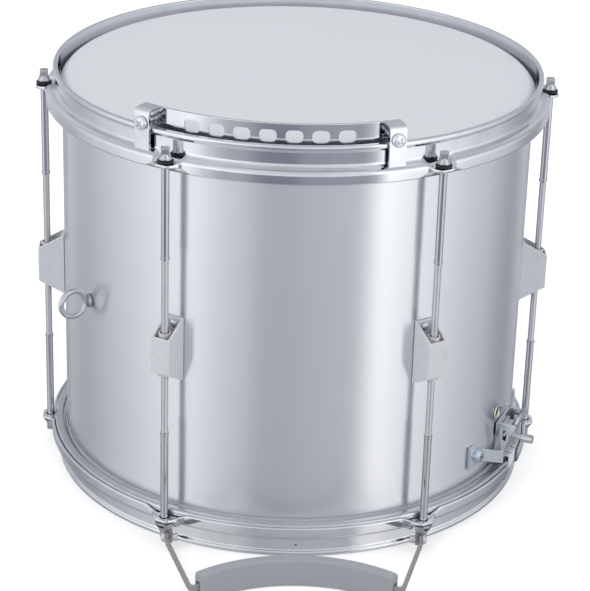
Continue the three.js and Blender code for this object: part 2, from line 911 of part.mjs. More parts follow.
const strainerBack = shell.radius + seatGap;
const strainerFace = strainerBack + strainer.sheet;
const cheekMidReach = strainer.lowReach + strainer.lowerSlopeShare * (strainer.midHeight - strainer.lowHeight);
const cheekTopReach = cheekMidReach + strainer.upperSlopeShare * (strainer.topHeight - strainer.midHeight);

function cheekReachAt(level) {
  const slopeShare = level > strainer.midHeight ? strainer.upperSlopeShare : strainer.lowerSlopeShare;
  return cheekMidReach + slopeShare * (level - strainer.midHeight);
}
const cheekX = (strainer.width - strainer.sheet) / 2;
const pivotReach = strainerBack + lever.pivotReach;

// The front edge of a cheek, moved outwards by an offset.
function cheekEdge(offset) {
  return [
    [strainerBack + strainer.lowReach + offset, strainer.lowHeight],
    [strainerBack + cheekMidReach + offset, strainer.midHeight],
    [strainerBack + cheekTopReach + offset, strainer.topHeight],
  ];
}

function strainerBaseGeometry() {
  const back = crosswise(block(strainerBack, strainerFace, strainer.bottom, strainer.top), strainer.width);
  const cheekOutline = [
    [strainerBack, strainer.bottom],
    [strainerBack + strainer.lowReach, strainer.bottom],
    ...cheekEdge(0),
    [strainerBack + cheekTopReach, strainer.top],
    [strainerBack, strainer.top],
  ];
  const slot = (side) => box(strainer.sheet + 2 * overrun, strainer.slotWidth, strainer.slotHeight)
    .translate(side * cheekX, -strainerBack - strainer.slotReach, strainer.slotBottom + strainer.slotHeight / 2);
  const cheek = (side) => cut(crosswise(cheekOutline, strainer.sheet).translate(side * cheekX, 0, 0), slot(side));
  const stubInner = cheekX - strainer.sheet / 2 - lever.legWidth - lever.gap;
  const stub = (side) => crossPin(lever.pivotRadius, cheekX - stubInner, smallSides)
    .translate(side * (stubInner + cheekX) / 2, -pivotReach, lever.pivotHeight);
  const footAngle = degrees(strainer.footWidth / shell.radius);
  const footInner = strainer.footSpan - footAngle;
  const footTop = strainer.footBottom + strainer.footHeight;
  const footMiddle = (strainerBack + strainerFace) / 2;
  const armAngle = radians(footInner) + strainer.armLap / footMiddle;
  const armFootX = footMiddle * Math.sin(armAngle);
  const armSlope = strainer.armRise / (armFootX - cheekX);
  const armLevel = strainer.bottom + strainer.armHeight / 2 - armSlope * cheekX;
  // The arm leaves the shell at its foot and falls to the low corner of the cheek.
  const arm = (side) => ribbon([
    new THREE.Vector2(side * cheekX, -strainerBack - strainer.armReach),
    new THREE.Vector2(side * armFootX, -footMiddle * Math.cos(armAngle)),
  ], strainer.sheet, strainer.armHeight)
    .applyMatrix4(new THREE.Matrix4().makeShear(0, side * armSlope, 0, 0, 0, 0))
    .translate(0, 0, armLevel);
  const foot = (side) => sector(
    block(strainerBack, strainerFace, strainer.footBottom, footTop),
    [side * footInner, side * strainer.footSpan],
  );
  const screwInner = shell.radius - shell.wall - lug.studInset;
  const screwLow = strainerFace - strainer.sheet / 2;
  const screw = (side) => join(
    pinBetween(strainer.screwRadius, screwLow, strainerFace + strainer.screwHeight, rodSides),
    pinBetween(rod.threadRadius - seatGap, screwInner, strainerFace, rodSides),
  ).translate(0, 0, (strainer.footBottom + footTop) / 2).rotateZ(radians(side * footCentre()));
  const both = [-1, 1];
  return join(back, ...both.map(cheek), ...both.map(stub), ...both.map(arm), ...both.map(foot), ...both.map(screw));
}

function leverGeometry() {
  const face = -lever.gap;
  const rear = face - lever.sheet;
  const legLow = lever.pivotHeight - lever.eyeRadius / 2;
  const tipReach = strainerBack + lever.tipReach;
  const outline = [
    [strainerBack + strainer.lowReach + rear, legLow],
    [strainerBack + strainer.lowReach + face, legLow],
    ...cheekEdge(face),
    [tipReach, lever.tipHeight],
    [tipReach - lever.sheet, lever.tipHeight],
    ...cheekEdge(rear).reverse(),
  ];
  const width = strainer.width - 2 * strainer.sheet - 2 * lever.gap;
  const eyes = crossPin(lever.eyeRadius, width, smallSides).translate(0, -pivotReach, lever.pivotHeight);
  const notchWidth = width - 2 * lever.legWidth;
  const notchLow = lever.pivotHeight - lever.eyeRadius - overrun;
  const notch = box(notchWidth, cheekTopReach + 2 * overrun, lever.legTop - notchLow)
    .translate(0, -pivotReach, (notchLow + lever.legTop) / 2);
  const bore = crossPin(lever.pivotRadius + seatGap, width + 2 * overrun, smallSides)
    .translate(0, -pivotReach, lever.pivotHeight);
  const screwBore = pinBetween(
    thumbScrew.neckRadius + seatGap, strainerFace, strainerBack + cheekTopReach + overrun, smallSides,
  ).translate(0, 0, thumbScrew.height);
  return cut(join(crosswise(outline, width), eyes), notch, bore, screwBore);
}

// The carriage's face, and the strap that lies on it
const carriageBack = strainerFace + seatGap;
const carriageFace = carriageBack + carriage.sheet;
const strapReach = carriageFace + seatGap + snares.strapSheet / 2;
const jawReach = strapReach + snares.strapSheet / 2 + seatGap;

function carriageGeometry() {
  const plate = crosswise(block(carriageBack, carriageFace, carriage.bottom, carriage.top), carriage.width);
  const axleReach = strainerBack + strainer.slotReach;
  const blockTop = carriage.blockBottom + carriage.blockHeight;
  const lump = crosswise(
    block(carriageFace - carriage.sheet / 2, axleReach + carriage.axleRadius, carriage.blockBottom, blockTop),
    carriage.width - carriage.sheet,
  );
  const axle = crossPin(carriage.axleRadius, strainer.width + strainer.sheet, rodSides)
    .translate(0, -axleReach, (carriage.blockBottom + blockTop) / 2);
  const jawTop = carriage.jawBottom + carriage.jawHeight;
  const jaw = crosswise(
    block(jawReach, jawReach + carriage.jawSheet, carriage.jawBottom, jawTop),
    carriage.width,
  );
  const jawLevel = jawTop + carriage.sheet / 2;
  const bridge = crosswise(
    block(carriageBack, jawReach + carriage.jawSheet, jawLevel - carriage.sheet, jawLevel),
    carriage.width,
  );
  return join(plate, lump, axle, jaw, bridge);
}

function thumbScrewGeometry() {
  const knobFrom = strainerBack + thumbScrew.neckReach;
  const collarFrom = strainerBack + cheekReachAt(thumbScrew.height + thumbScrew.collarRadius) - lever.gap + seatGap;
  return revolve([
    [0, strainerBack + thumbScrew.innerReach],
    [thumbScrew.neckRadius, strainerBack + thumbScrew.innerReach],
    [thumbScrew.neckRadius, collarFrom],
    [thumbScrew.collarRadius, collarFrom],
    [thumbScrew.collarRadius, collarFrom + thumbScrew.collarHeight],
    [thumbScrew.neckRadius, collarFrom + thumbScrew.collarHeight],
    [thumbScrew.neckRadius, knobFrom],
    [thumbScrew.knobRadius, knobFrom],
    [thumbScrew.knobRadius, knobFrom + thumbScrew.knobLength],
    [0, knobFrom + thumbScrew.knobLength],
  ], smallSides).rotateX(Math.PI / 2).translate(0, 0, thumbScrew.height);
}

// Snares: strands under the snare head, with a plate and a strap at each end, in the strainer's frame

const snareEndReach = shell.radius - snares.endInset;
const snareLevel = midHeight - filmTop - snares.headGap - snares.strandRadius;
const snareFleshTop = midHeight - fleshBottom;
const snareFleshBottom = midHeight - fleshTop;

// The strap's way from its jaw, over the flesh hoop, through the gate to the end plate.
function strapPath(reach, top) {
  const overHoop = fleshOuter + seatGap + snares.strapSheet;
  const riseShare = 0.15;
  const ridge = snareFleshTop + snares.drop + snares.strapSheet;
  return [
    [reach, top],
    [reach, ridge + snares.strapSheet],
    [overHoop, ridge],
    [overHoop, snareFleshBottom - snares.strapSheet],
    [hoopInner, THREE.MathUtils.lerp(snareLevel, snareFleshBottom, riseShare)],
    [crownRadius, snareLevel],
    [snareEndReach - snares.plateLength / 2, snareLevel],
  ];
}

function strapGeometry(reach, top) {
  const path = strapPath(reach, top).map(([x, y]) => new THREE.Vector2(x, y));
  const toStation = new THREE.Matrix4().set(0, 0, 1, 0, -1, 0, 0, 0, 0, 1, 0, 0, 0, 0, 0, 1);
  return ribbon(path, snares.strapSheet, snares.strapWidth).applyMatrix4(toStation);
}

function snaresGeometry() {
  const plateWidth = (snares.strands - 1) * snares.pitch + 2 * (snares.strandRadius + snares.plateMargin);
  const plate = (side) => box(plateWidth, snares.plateLength, snares.plateSheet)
    .translate(0, side * (snareEndReach - snares.plateLength / 2), snareLevel);
  const strandLength = 2 * snareEndReach - snares.plateLength;
  const strand = (i) => radialPin(snares.strandRadius, strandLength, hexSides)
    .translate((i - (snares.strands - 1) / 2) * snares.pitch, 0, snareLevel);
  const strainerTop = carriage.jawBottom + carriage.jawHeight - carriage.sheet / 2 - seatGap;
  const buttTop = butt.bottom + butt.height - seatGap;
  return join(
    plate(-1),
    plate(1),
    ...Array.from({ length: snares.strands }, (_, i) => strand(i)),
    strapGeometry(strapReach, strainerTop),
    strapGeometry(buttStrapReach, buttTop).rotateZ(Math.PI),
  );
}

// Butt: a plate on the shell opposite the strainer that holds the far strap

const buttFace = strainerBack + butt.sheet;
const buttStrapReach = buttFace + butt.jawGap + snares.strapSheet / 2;

function buttGeometry() {
  const top = butt.bottom + butt.height;
  const jawInner = buttStrapReach + snares.strapSheet / 2 + butt.jawGap;
  const jawBottom = top - butt.jawHeight;
  const jawOuter = jawInner + butt.jawSheet;
  const plate = crosswise(block(strainerBack, buttFace, butt.bottom, top), butt.width);
  const jaw = crosswise(block(jawInner, jawOuter, jawBottom, top + butt.sheet), butt.jawWidth);
  const cap = crosswise(block(strainerBack, jawOuter, top, top + butt.sheet), butt.jawWidth);
  const screwInner = shell.radius - shell.wall - lug.studInset;
  const level = butt.bottom + butt.height / 2;
  const screw = (side) => join(
    pinBetween(butt.screwRadius, buttFace - butt.sheet / 2, buttFace + butt.screwHeight, rodSides),
    pinBetween(rod.threadRadius - seatGap, screwInner, buttFace, rodSides),
  ).translate(0, 0, level).rotateZ(radians(side * buttScrewAzimuth()));
  return join(plate, jaw, cap, screw(-1), screw(1));
}

const strainerStation = stationAt(strainer.azimuth);
strainerStation.add(
  piece('strainer_base', strainerBaseGeometry(), zinc),
  piece('strainer_lever', leverGeometry(), chrome),
  piece('strainer_carriage', carriageGeometry(), steelGrey),
  piece('strainer_thumb_screw', thumbScrewGeometry(), zinc),
  piece('snares', snaresGeometry(), strapGrey),
);
stationAt(strainer.azimuth + 180).add(piece('snare_butt', buttGeometry(), zinc));

// Leg rest: a bent bar in a curved pad, hinged on two brackets that the front tension rods clamp

const frontAzimuth = radians(stations.find(({ name }) => name === 'front_right').azimuth);
const frontRod = new THREE.Vector2(rodCircle * Math.sin(frontAzimuth), -rodCircle * Math.cos(frontAzimuth));
const armX = frontRod.x - legRest.armInset;
const hingeY = frontRod.y - legRest.hingeReach;
const padCentreY = hingeY - legRest.padReach;
const hingeLevel = legRest.padHeight / 2;
const padArcY = padCentreY - legRest.padRadius;

function barPath() {
  const end = radians(legRest.padHalfAngle);
  const arcPoint = (angle) =>
    new THREE.Vector2(legRest.padRadius * Math.sin(angle), padArcY + legRest.padRadius * Math.cos(angle));
  const leave = new THREE.Vector2(Math.cos(end), -Math.sin(end));
  const corner = arcPoint(end).addScaledVector(leave, legRest.bendReach);
  const hinge = new THREE.Vector2(armX, hingeY);
  const straight = hinge.clone().add(new THREE.Vector2(0, -legRest.eyeStraight));
  const before = straight.clone().sub(corner).setLength(legRest.bendReach).add(corner);
  const bend = new THREE.QuadraticBezierCurve(before, corner, arcPoint(end)).getPoints(arcSteps);
  const side = [hinge, straight, ...bend];
  const arc = anglesBetween(end, -end, padSteps).slice(1, -1).map(arcPoint);
  const mirrored = side.map(({ x, y }) => new THREE.Vector2(-x, y)).reverse();
  return [...side, ...arc, ...mirrored];
}

function legBarGeometry() {
  const bar = ribbon(barPath(), legRest.barThickness, legRest.barHeight).translate(0, 0, hingeLevel);
  const eyeDisc = (side) => crossPin(legRest.eyeRadius, legRest.barThickness, smallSides)
    .translate(side * armX, hingeY, hingeLevel);
  const bore = crossPin(legRest.boltRadius + seatGap, 2 * (armX + overrun), smallSides)
    .translate(0, hingeY, hingeLevel);
  return cut(join(bar, eyeDisc(-1), eyeDisc(1)), bore);
}

function padGeometry() {
  const half = legRest.padThickness / 2;
  const roundings = 2;
  const skin = roundedBlock(
    legRest.padRadius - half, legRest.padRadius + half, 0, legRest.padHeight, legRest.padRound, roundings);
  const slotHalf = legRest.slotThickness / 2;
  const slotRange = [hingeLevel - legRest.slotHeight / 2, hingeLevel + legRest.slotHeight / 2];
  const start = 180 - legRest.padHalfAngle;
  const end = 180 + legRest.padHalfAngle;
  const extra = degrees(overrun / legRest.padRadius);
  const body = sector(skin, anglesBetween(start, end, padSteps));
  const slot = sector(
    block(legRest.padRadius - slotHalf, legRest.padRadius + slotHalf, ...slotRange),
    anglesBetween(start - extra, end + extra, padSteps));
  return cut(body, slot).translate(0, padArcY, 0);
}

// The bracket under the ear at one front rod, with the pivot bolt that the bar's eye turns on.
function bracketGeometry(side) {
  const top = hoop.earDepth - seatGap;
  const { x: rodX, y: rodY } = frontRod;
  const tabOuter = armX - legRest.barThickness / 2 - seatGap;
  const tabInner = tabOuter - legRest.bracketSheet;
  const tabFront = hingeY - legRest.tabFront;
  const tabBack = hingeY + legRest.tabBack;
  const collar = postBetween(legRest.bracketRadius, top - legRest.bracketSheet, top, smallSides).translate(rodX, rodY, 0);
  const shelf = box(rodX - tabInner, rodY - tabFront, legRest.bracketSheet)
    .translate((rodX + tabInner) / 2, (rodY + tabFront) / 2, top - legRest.bracketSheet / 2);
  const tab = box(legRest.bracketSheet, tabBack - tabFront, top - legRest.tabBottom)
    .translate((tabInner + tabOuter) / 2, (tabFront + tabBack) / 2, (top + legRest.tabBottom) / 2);
  const boltOuter = armX + legRest.barThickness / 2 + seatGap + legRest.boltHeadHeight;
  const boltPart = (radius, from, to) => crossPin(radius, to - from, rodSides)
    .translate((from + to) / 2, hingeY, hingeLevel);
  const bolt = boltPart(legRest.boltRadius, tabInner, boltOuter);
  const boltHead = boltPart(legRest.boltHeadRadius, boltOuter - legRest.boltHeadHeight, boltOuter);
  const boltNut = boltPart(legRest.nutRadius, tabInner - legRest.nutHeight, tabOuter);
  const bore = postBetween(hoop.rodHoleRadius, 0, overallHeight, smallSides).translate(rodX, rodY, 0);
  const whole = cut(join(collar, shelf, tab, bolt, boltHead, boltNut), bore);
  return side > 0 ? whole : whole.applyMatrix4(new THREE.Matrix4().makeScale(-1, 1, 1));
}

drum.add(
  piece('leg_rest_bar', legBarGeometry(), steelGrey),
  piece('leg_rest_pad', padGeometry(), padGrey),
  piece('leg_rest_bracket_left', bracketGeometry(-1), steelGrey),
  piece('leg_rest_bracket_right', bracketGeometry(1), steelGrey),
);

// The origin is under the middle of the part's box, on the surface that it stands on

drum.updateMatrixWorld(true);
const reach = new THREE.Box3().setFromObject(drum, true);
drum.position.y = -(reach.min.y + reach.max.y) / 2;

const part = new THREE.Group();
part.name = 'marching_snare_drum';
part.add(drum);

export default part;
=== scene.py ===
"""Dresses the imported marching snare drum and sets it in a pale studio.

Sizes are in millimetres in the drum's own frame: its axis is at x 0 and y 0, the floor is z 0
and azimuths run in degrees from the front, -Y, towards +X. The row frame only moves that axis.
"""

from __future__ import annotations

import logging
import math
from dataclasses import dataclass
from enum import Enum
from typing import Iterable, Sequence

import bmesh
import bpy
from mathutils import Matrix, Vector


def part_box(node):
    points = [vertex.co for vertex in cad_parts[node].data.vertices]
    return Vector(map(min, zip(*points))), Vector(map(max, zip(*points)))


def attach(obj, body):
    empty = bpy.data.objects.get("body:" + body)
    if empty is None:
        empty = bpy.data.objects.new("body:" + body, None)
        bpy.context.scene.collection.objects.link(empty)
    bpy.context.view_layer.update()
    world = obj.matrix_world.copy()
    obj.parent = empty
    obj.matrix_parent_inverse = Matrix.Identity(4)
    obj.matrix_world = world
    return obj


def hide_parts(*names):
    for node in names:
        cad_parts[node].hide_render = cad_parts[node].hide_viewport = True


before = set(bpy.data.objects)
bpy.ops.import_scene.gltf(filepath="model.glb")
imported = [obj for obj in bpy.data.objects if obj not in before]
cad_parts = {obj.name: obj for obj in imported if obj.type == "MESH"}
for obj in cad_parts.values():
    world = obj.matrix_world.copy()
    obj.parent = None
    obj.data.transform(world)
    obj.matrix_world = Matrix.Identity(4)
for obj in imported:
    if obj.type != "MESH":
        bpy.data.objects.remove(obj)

LOG = logging.getLogger("drum")
MM = 0.001
OVERRUN = 3.0
ONE_TURN = 2 * math.pi
MERGE = 1e-7
# The studio light's cool cast, painted into every colour that tone() makes.
PAINTED_LIGHT_CAST = (0.975, 1.0, 1.05)
Piece = bpy.types.Object
Finish = bpy.types.Material
Socket = bpy.types.NodeSocket
Colour = tuple[float, float, float, float]
Point = Sequence[float]
Outline = Sequence[tuple[float, float]]


# Numbers shared by the sub-assemblies


@dataclass(frozen=True)
class DrumSizes:
    """Sizes that more than one sub-assembly needs."""

    shell_radius: float = 177.8
    height: float = 320.0
    rod_circle: float = 191.6
    seat: float = 178.1
    flesh_inner: float = 179.0
    flesh_outer: float = 186.8
    flesh_low: float = 132.3
    flesh_high: float = 137.7
    ear_top: float = 140.2
    lug_level: float = 155.0
    strainer_azimuth: float = 66.0
    first_station: float = -30.0
    station_step: float = 60.0
    stations: tuple[tuple[str, float], ...] = (
        ("front_left", -30.0),
        ("front_right", 30.0),
        ("right", 90.0),
        ("rear_right", 150.0),
        ("rear_left", 210.0),
        ("left", 270.0),
    )

    @property
    def middle(self) -> float:
        """Half way between the rims."""
        return self.height / 2


SIZES = DrumSizes()


def turn(azimuth: float) -> Matrix:
    """Turns a piece that was built at the front to an azimuth."""
    return Matrix.Rotation(math.radians(azimuth), 4, "Z")


def outward(level: float, across: float = 0.0) -> Matrix:
    """Lays a piece that was built along z along the radius at the front, at a level."""
    return Matrix.Translation((across, 0, level)) @ Matrix.Rotation(math.pi / 2, 4, "X")


class End(Enum):
    """The two ends of the drum."""

    BATTER = "batter"
    SNARE = "snare"

    def matrix(self) -> Matrix:
        """Takes an end's own levels, counted upwards from the middle, to the drum's frame."""
        lift = Matrix.Translation((0.0, 0.0, SIZES.middle))
        if self is End.BATTER:
            return lift
        return lift @ Matrix.Rotation(math.pi, 4, "X")

    def azimuth(self, azimuth: float) -> float:
        """The azimuth to use before matrix() so that a piece ends up at the given one."""
        return azimuth if self is End.BATTER else 180.0 - azimuth

    def at_rod(self, station: float) -> Matrix:
        """Takes a piece that was built on the z axis to the rod at a station."""
        return self.matrix() @ turn(self.azimuth(station)) @ Matrix.Translation((0, -SIZES.rod_circle, 0))


class Boolean(Enum):
    """How pieces are combined."""

    JOIN = "UNION"
    CUT = "DIFFERENCE"


def axis_y() -> float:
    """Where the drum's axis stands along Y in the row frame, in metres."""
    low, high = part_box("shell")
    return (low.y + high.y) / 2


AXIS_Y = axis_y()


# Outlines


def rounded(
    outline: Outline, radii: float | Sequence[float], steps: int = 4, closed: bool = True
) -> list[tuple[float, float]]:
    """Rounds the corners of an outline.

    Args:
        outline: corner points.
        radii: one radius, or one for each corner.
        steps: straight pieces in each rounding.
        closed: whether the last corner joins the first.

    Returns:
        The points, always steps + 1 for a rounded corner.
    """
    count = len(outline)
    result: list[tuple[float, float]] = []
    for i, corner in enumerate(outline):
        radius = radii if isinstance(radii, (int, float)) else radii[i]
        if radius <= 0 or (not closed and i in (0, count - 1)):
            result.append((corner[0], corner[1]))
            continue
        here = Vector(corner)
        into = here - Vector(outline[i - 1])
        out = Vector(outline[(i + 1) % count]) - here
        lengths = into.length, out.length
        into.normalize()
        out.normalize()
        bend = math.acos(max(-1.0, min(1.0, into.dot(out))))
        reach = min(radius * math.tan(bend / 2), 0.49 * lengths[0], 0.49 * lengths[1])
        start, end = here - into * reach, here + out * reach
        for k in range(steps + 1):
            t = k / steps
            point = start * (1 - t) ** 2 + here * (2 * t * (1 - t)) + end * t**2
            result.append((point.x, point.y))
    return result


def block(inner: float, outer: float, low: float, high: float) -> list[tuple[float, float]]:
    """A rectangle of (reach, level) points."""
    return [(inner, low), (outer, low), (outer, high), (inner, high)]


def spread(start: float, end: float, steps: int) -> list[float]:
    """Evenly spaced numbers, both ends included."""
    return [start + (end - start) * i / steps for i in range(steps + 1)]


def polar(radius: float, azimuth: float, level: float) -> tuple[float, float, float]:
    """A point of the drum's frame from its radius, azimuth and level."""
    angle = math.radians(azimuth)
    return (radius * math.sin(angle), -radius * math.cos(angle), level)


# Meshes


class Draft:
    """Points and faces, in millimetres."""

    def __init__(self) -> None:
        """Starts empty."""
        self.points: list[Point] = []
        self.faces: list[tuple[int, ...]] = []

    def sweep(self, rings: Sequence[Sequence[Point]], closed: bool = False) -> "Draft":
        """Joins equal rings of points into a tube.

        Args:
            rings: closed rings, in order along the tube.
            closed: whether the last ring joins the first; if not, both ends get a face.

        Returns:
            This draft.
        """
        base, size, count = len(self.points), len(rings[0]), len(rings)
        for ring in rings:
            self.points.extend(ring)
        for i in range(count if closed else count - 1):
            a, b = base + i * size, base + ((i + 1) % count) * size
            for j in range(size):
                k = (j + 1) % size
                self.faces.append((a + j, a + k, b + k, b + j))
        if not closed:
            last = base + (count - 1) * size
            self.faces.append(tuple(range(base, base + size))[::-1])
            self.faces.append(tuple(range(last, last + size)))
        return self

    def lathe(self, outline: Outline, steps: int) -> "Draft":
        """Turns a closed (radius, level) outline round the z axis."""
        angles = [ONE_TURN * i / steps for i in range(steps)]
        rings = [[(r * math.sin(a), -r * math.cos(a), z) for r, z in outline] for a in angles]
        return self.sweep(rings, closed=True)

    def arc(self, outline: Outline, azimuths: Sequence[float]) -> "Draft":
        """Sweeps a closed (radius, level) outline through azimuths."""
        return self.sweep([[polar(r, a, z) for r, z in outline] for a in azimuths])

    def across(self, outline: Outline, width: float) -> "Draft":
        """Extrudes a closed (reach, level) outline across the front, centred on it."""
        return self.sweep([[(x, -r, z) for r, z in outline] for x in (-width / 2, width / 2)])

    def moved(self, matrix: Matrix) -> "Draft":
        """A copy of the draft, moved."""
        copy = Draft()
        copy.points = [tuple(matrix @ Vector(p)) for p in self.points]
        copy.faces = list(self.faces)
        return copy

    def add(self, other: "Draft") -> "Draft":
        """Adds another draft's points and faces to this one."""
        base = len(self.points)
        self.points.extend(other.points)
        self.faces.extend(tuple(base + i for i in face) for face in other.faces)
        return self


def peg(radius: float, low: float, high: float, steps: int) -> Draft:
    """A plain round peg on the z axis, which cuts a bore."""
    return Draft().lathe(block(0.0, radius, low, high), steps)


def link_piece(name: str, mesh: bpy.types.Mesh) -> Piece:
    """Puts a mesh in the scene as an object at the origin."""
    obj = bpy.data.objects.new(name, mesh)
    bpy.context.scene.collection.objects.link(obj)
    return obj


def make(name: str, draft: Draft, on_axis: bool = False) -> Piece:
    """Makes an object from a draft, merged and facing outwards.

    Args:
        name: the object's name.
        draft: its points and faces.
        on_axis: whether the drum's axis stays at the origin instead of going to its place.

    Returns:
        The object, at the origin, with its place in its mesh.
    """
    shift = 0.0 if on_axis else AXIS_Y
    mesh = bpy.data.meshes.new(name)
    mesh.from_pydata([(x * MM, y * MM + shift, z * MM) for x, y, z in draft.points], [], draft.faces)
    work = bmesh.new()
    work.from_mesh(mesh)
    bmesh.ops.remove_doubles(work, verts=work.verts, dist=MERGE)
    bmesh.ops.dissolve_degenerate(work, edges=work.edges, dist=MERGE)
    bmesh.ops.recalc_face_normals(work, faces=work.faces)
    work.to_mesh(mesh)
    work.free()
    return link_piece(name, mesh)


def bake(obj: Piece) -> Piece:
    """Turns an object's modifiers into its mesh."""
    graph = bpy.context.evaluated_depsgraph_get()
    mesh = bpy.data.meshes.new_from_object(
        obj.evaluated_get(graph), preserve_all_data_layers=True, depsgraph=graph
    )
    obj.modifiers.clear()
    old = obj.data
    obj.data = mesh
    bpy.data.meshes.remove(old)
    mesh.name = obj.name
    return obj


def soften(obj: Piece, width: float, segments: int = 3, angle: float = 30.0) -> Piece:
    """Rounds an object's edges that turn by more than an angle, by a width in millimetres."""
    mod = obj.modifiers.new("soften", "BEVEL")
    mod.width = width * MM
    mod.segments = segments
    mod.limit_method = "ANGLE"
    mod.angle_limit = math.radians(angle)
    mod.harden_normals = False
    return bake(obj)


def combine(obj: Piece, others: Iterable[Piece], how: Boolean) -> Piece:
    """Joins an object with others, or cuts them out of it. The others are then gone.

    Args:
        obj: the object that stays.
        others: what is added to it or cut out of it.
        how: whether they are joined or cut.

    Returns:
        The object.
    """
    others = list(others)
    for other in others:
        mod = obj.modifiers.new("combine", "BOOLEAN")
        mod.operation = how.value
        mod.solver = "EXACT"
        mod.object = other
    bake(obj)
    for other in others:
        bpy.data.objects.remove(other)
    return obj


def polish(obj: Piece, angle: float = 32.0) -> Piece:
    """Shades an object smooth, with edges sharper than an angle kept and flat faces kept flat."""
    mesh = obj.data
    mesh.polygons.foreach_set("use_smooth", [True] * len(mesh.polygons))
    mesh.set_sharp_from_angle(angle=math.radians(angle))
    mod = obj.modifiers.new("weights", "WEIGHTED_NORMAL")
    mod.mode = "FACE_AREA"
    mod.keep_sharp = True
    mod.weight = 50
    return bake(obj)


def refined(node: str, name: str, width: float, segments: int = 2) -> Piece:
    """A copy of a CAD node with its facets merged into flat faces and its edges rounded.

    Args:
        node: the CAD node's name.
        name: the new object's name.
        width: the rounding, in millimetres.
        segments: the rounding's steps.

    Returns:
        The new object.
    """
    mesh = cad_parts[node].data.copy()
    work = bmesh.new()
    work.from_mesh(mesh)
    bmesh.ops.remove_doubles(work, verts=work.verts, dist=2e-6)
    bmesh.ops.dissolve_limit(work, angle_limit=math.radians(1.0), verts=work.verts, edges=work.edges)
    work.to_mesh(mesh)
    work.free()
    mesh.materials.clear()
    return soften(link_piece(name, mesh), width, segments)


def settle(obj: Piece, material: Finish, body: str, slot: str, *nodes: str) -> Piece:
    """Gives a piece its finish and its body, and hides the CAD nodes that it stands for.

    Args:
        obj: the piece.
        material: its finish.
        body: the CAD body that it rides on.
        slot: the record's material slot; not used.
        nodes: the CAD nodes that it replaces.

    Returns:
        The piece.
    """
    obj.data.materials.clear()
    obj.data.materials.append(material)
    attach(obj, body)
    if nodes:
        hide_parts(*nodes)
    LOG.info("%s: %d faces on %s", obj.name, len(obj.data.polygons), body)
    return obj


@dataclass(frozen=True)
class CrossHead:
    """A screw with a cross recess: its outline and the recess's two bars."""

    outline: Outline
    radii: Sequence[float]
    steps: int
    floor: float
    top: float
    bar_half: float
    bar_length: float
    angle: float

    def build(self, name: str, azimuth: float, level: float) -> Piece:
        """Makes the screw along the radius at an azimuth and a level."""
        body = Draft().lathe(rounded(self.outline, self.radii, 4), self.steps)
        screw = make(name, body.moved(turn(azimuth) @ outward(level)))
        section = block(self.floor, self.top, -self.bar_half, self.bar_half)
        cross = []
        place = turn(azimuth) @ Matrix.Translation((0, 0, level))
        for angle in (self.angle, self.angle + 90.0):
            bar = Draft().across(section, self.bar_length)
            cross.append(make("cross", bar.moved(place @ Matrix.Rotation(math.radians(angle), 4, "Y"))))
        return polish(combine(screw, cross, Boolean.CUT))


# Nodes


class Nodes:
    """A node tree that is written in code."""

    def __init__(self, tree: bpy.types.NodeTree) -> None:
        """Empties a node tree and keeps it."""
        tree.nodes.clear()
        self.tree = tree

    def node(self, kind: str, settings: dict | None = None, values: dict | None = None) -> bpy.types.Node:
        """Adds a node.

        Args:
            kind: the node's type.
            settings: its properties, set first; stops is a list of (position, colour) of a ramp.
            values: numbers, colours, sockets or terms for its inputs, by name or place.

        Returns:
            The node.
        """
        node = self.tree.nodes.new(kind)
        for name, value in (settings or {}).items():
            if name == "stops":
                ramp = node.color_ramp
                while len(ramp.elements) < len(value):
                    ramp.elements.new(0.5)
                for element, (position, colour) in zip(ramp.elements, value):
                    element.position = position
                    element.color = (*colour, 1.0)
            else:
                setattr(node, name, value)
        for name, value in (values or {}).items():
            if isinstance(value, Term):
                value = value.socket
            if isinstance(value, bpy.types.NodeSocket):
                self.tree.links.new(value, node.inputs[name])
            else:
                node.inputs[name].default_value = value
        return node


class Maker(Nodes):
    """A Geometry Nodes tree with named inputs that makes a piece's mesh."""

    def __init__(self, name: str, inputs: dict[str, str]) -> None:
        """Starts the tree.

        Args:
            name: the tree's name.
            inputs: the kind of socket of each size, by name.
        """
        super().__init__(bpy.data.node_groups.new(name, "GeometryNodeTree"))
        face = self.tree.interface
        for title, kind in {"Geometry": "Geometry", **inputs, "Material": "Material"}.items():
            face.new_socket(title, in_out="INPUT", socket_type=f"NodeSocket{kind}")
        face.new_socket("Geometry", in_out="OUTPUT", socket_type="NodeSocketGeometry")
        self.entry = self.node("NodeGroupInput").outputs

    def repeated(self, points: Socket, piece: Socket, rotation: object) -> Socket:
        """Sets copies of a piece on points, as real geometry."""
        values = {"Points": points, "Instance": piece, "Rotation": rotation}
        copies = self.node("GeometryNodeInstanceOnPoints", {}, values)
        return self.node("GeometryNodeRealizeInstances", {}, {0: copies.outputs[0]}).outputs[0]

    def end(self, geometry: Socket) -> None:
        """Ends the tree, with the geometry in its finish."""
        values = {"Geometry": geometry, "Material": self.entry["Material"]}
        paint = self.node("GeometryNodeSetMaterial", {}, values)
        self.node("NodeGroupOutput", {}, {0: paint.outputs[0]})

    def run(self, obj: Piece, values: dict[str, object]) -> Piece:
        """Gives an object the tree's mesh for these inputs."""
        mod = obj.modifiers.new(self.tree.name, "NODES")
        mod.node_group = self.tree
        for item in self.tree.interface.items_tree:
            if item.in_out == "INPUT" and item.name in values:
                mod[item.identifier] = values[item.name]
        return bake(obj)


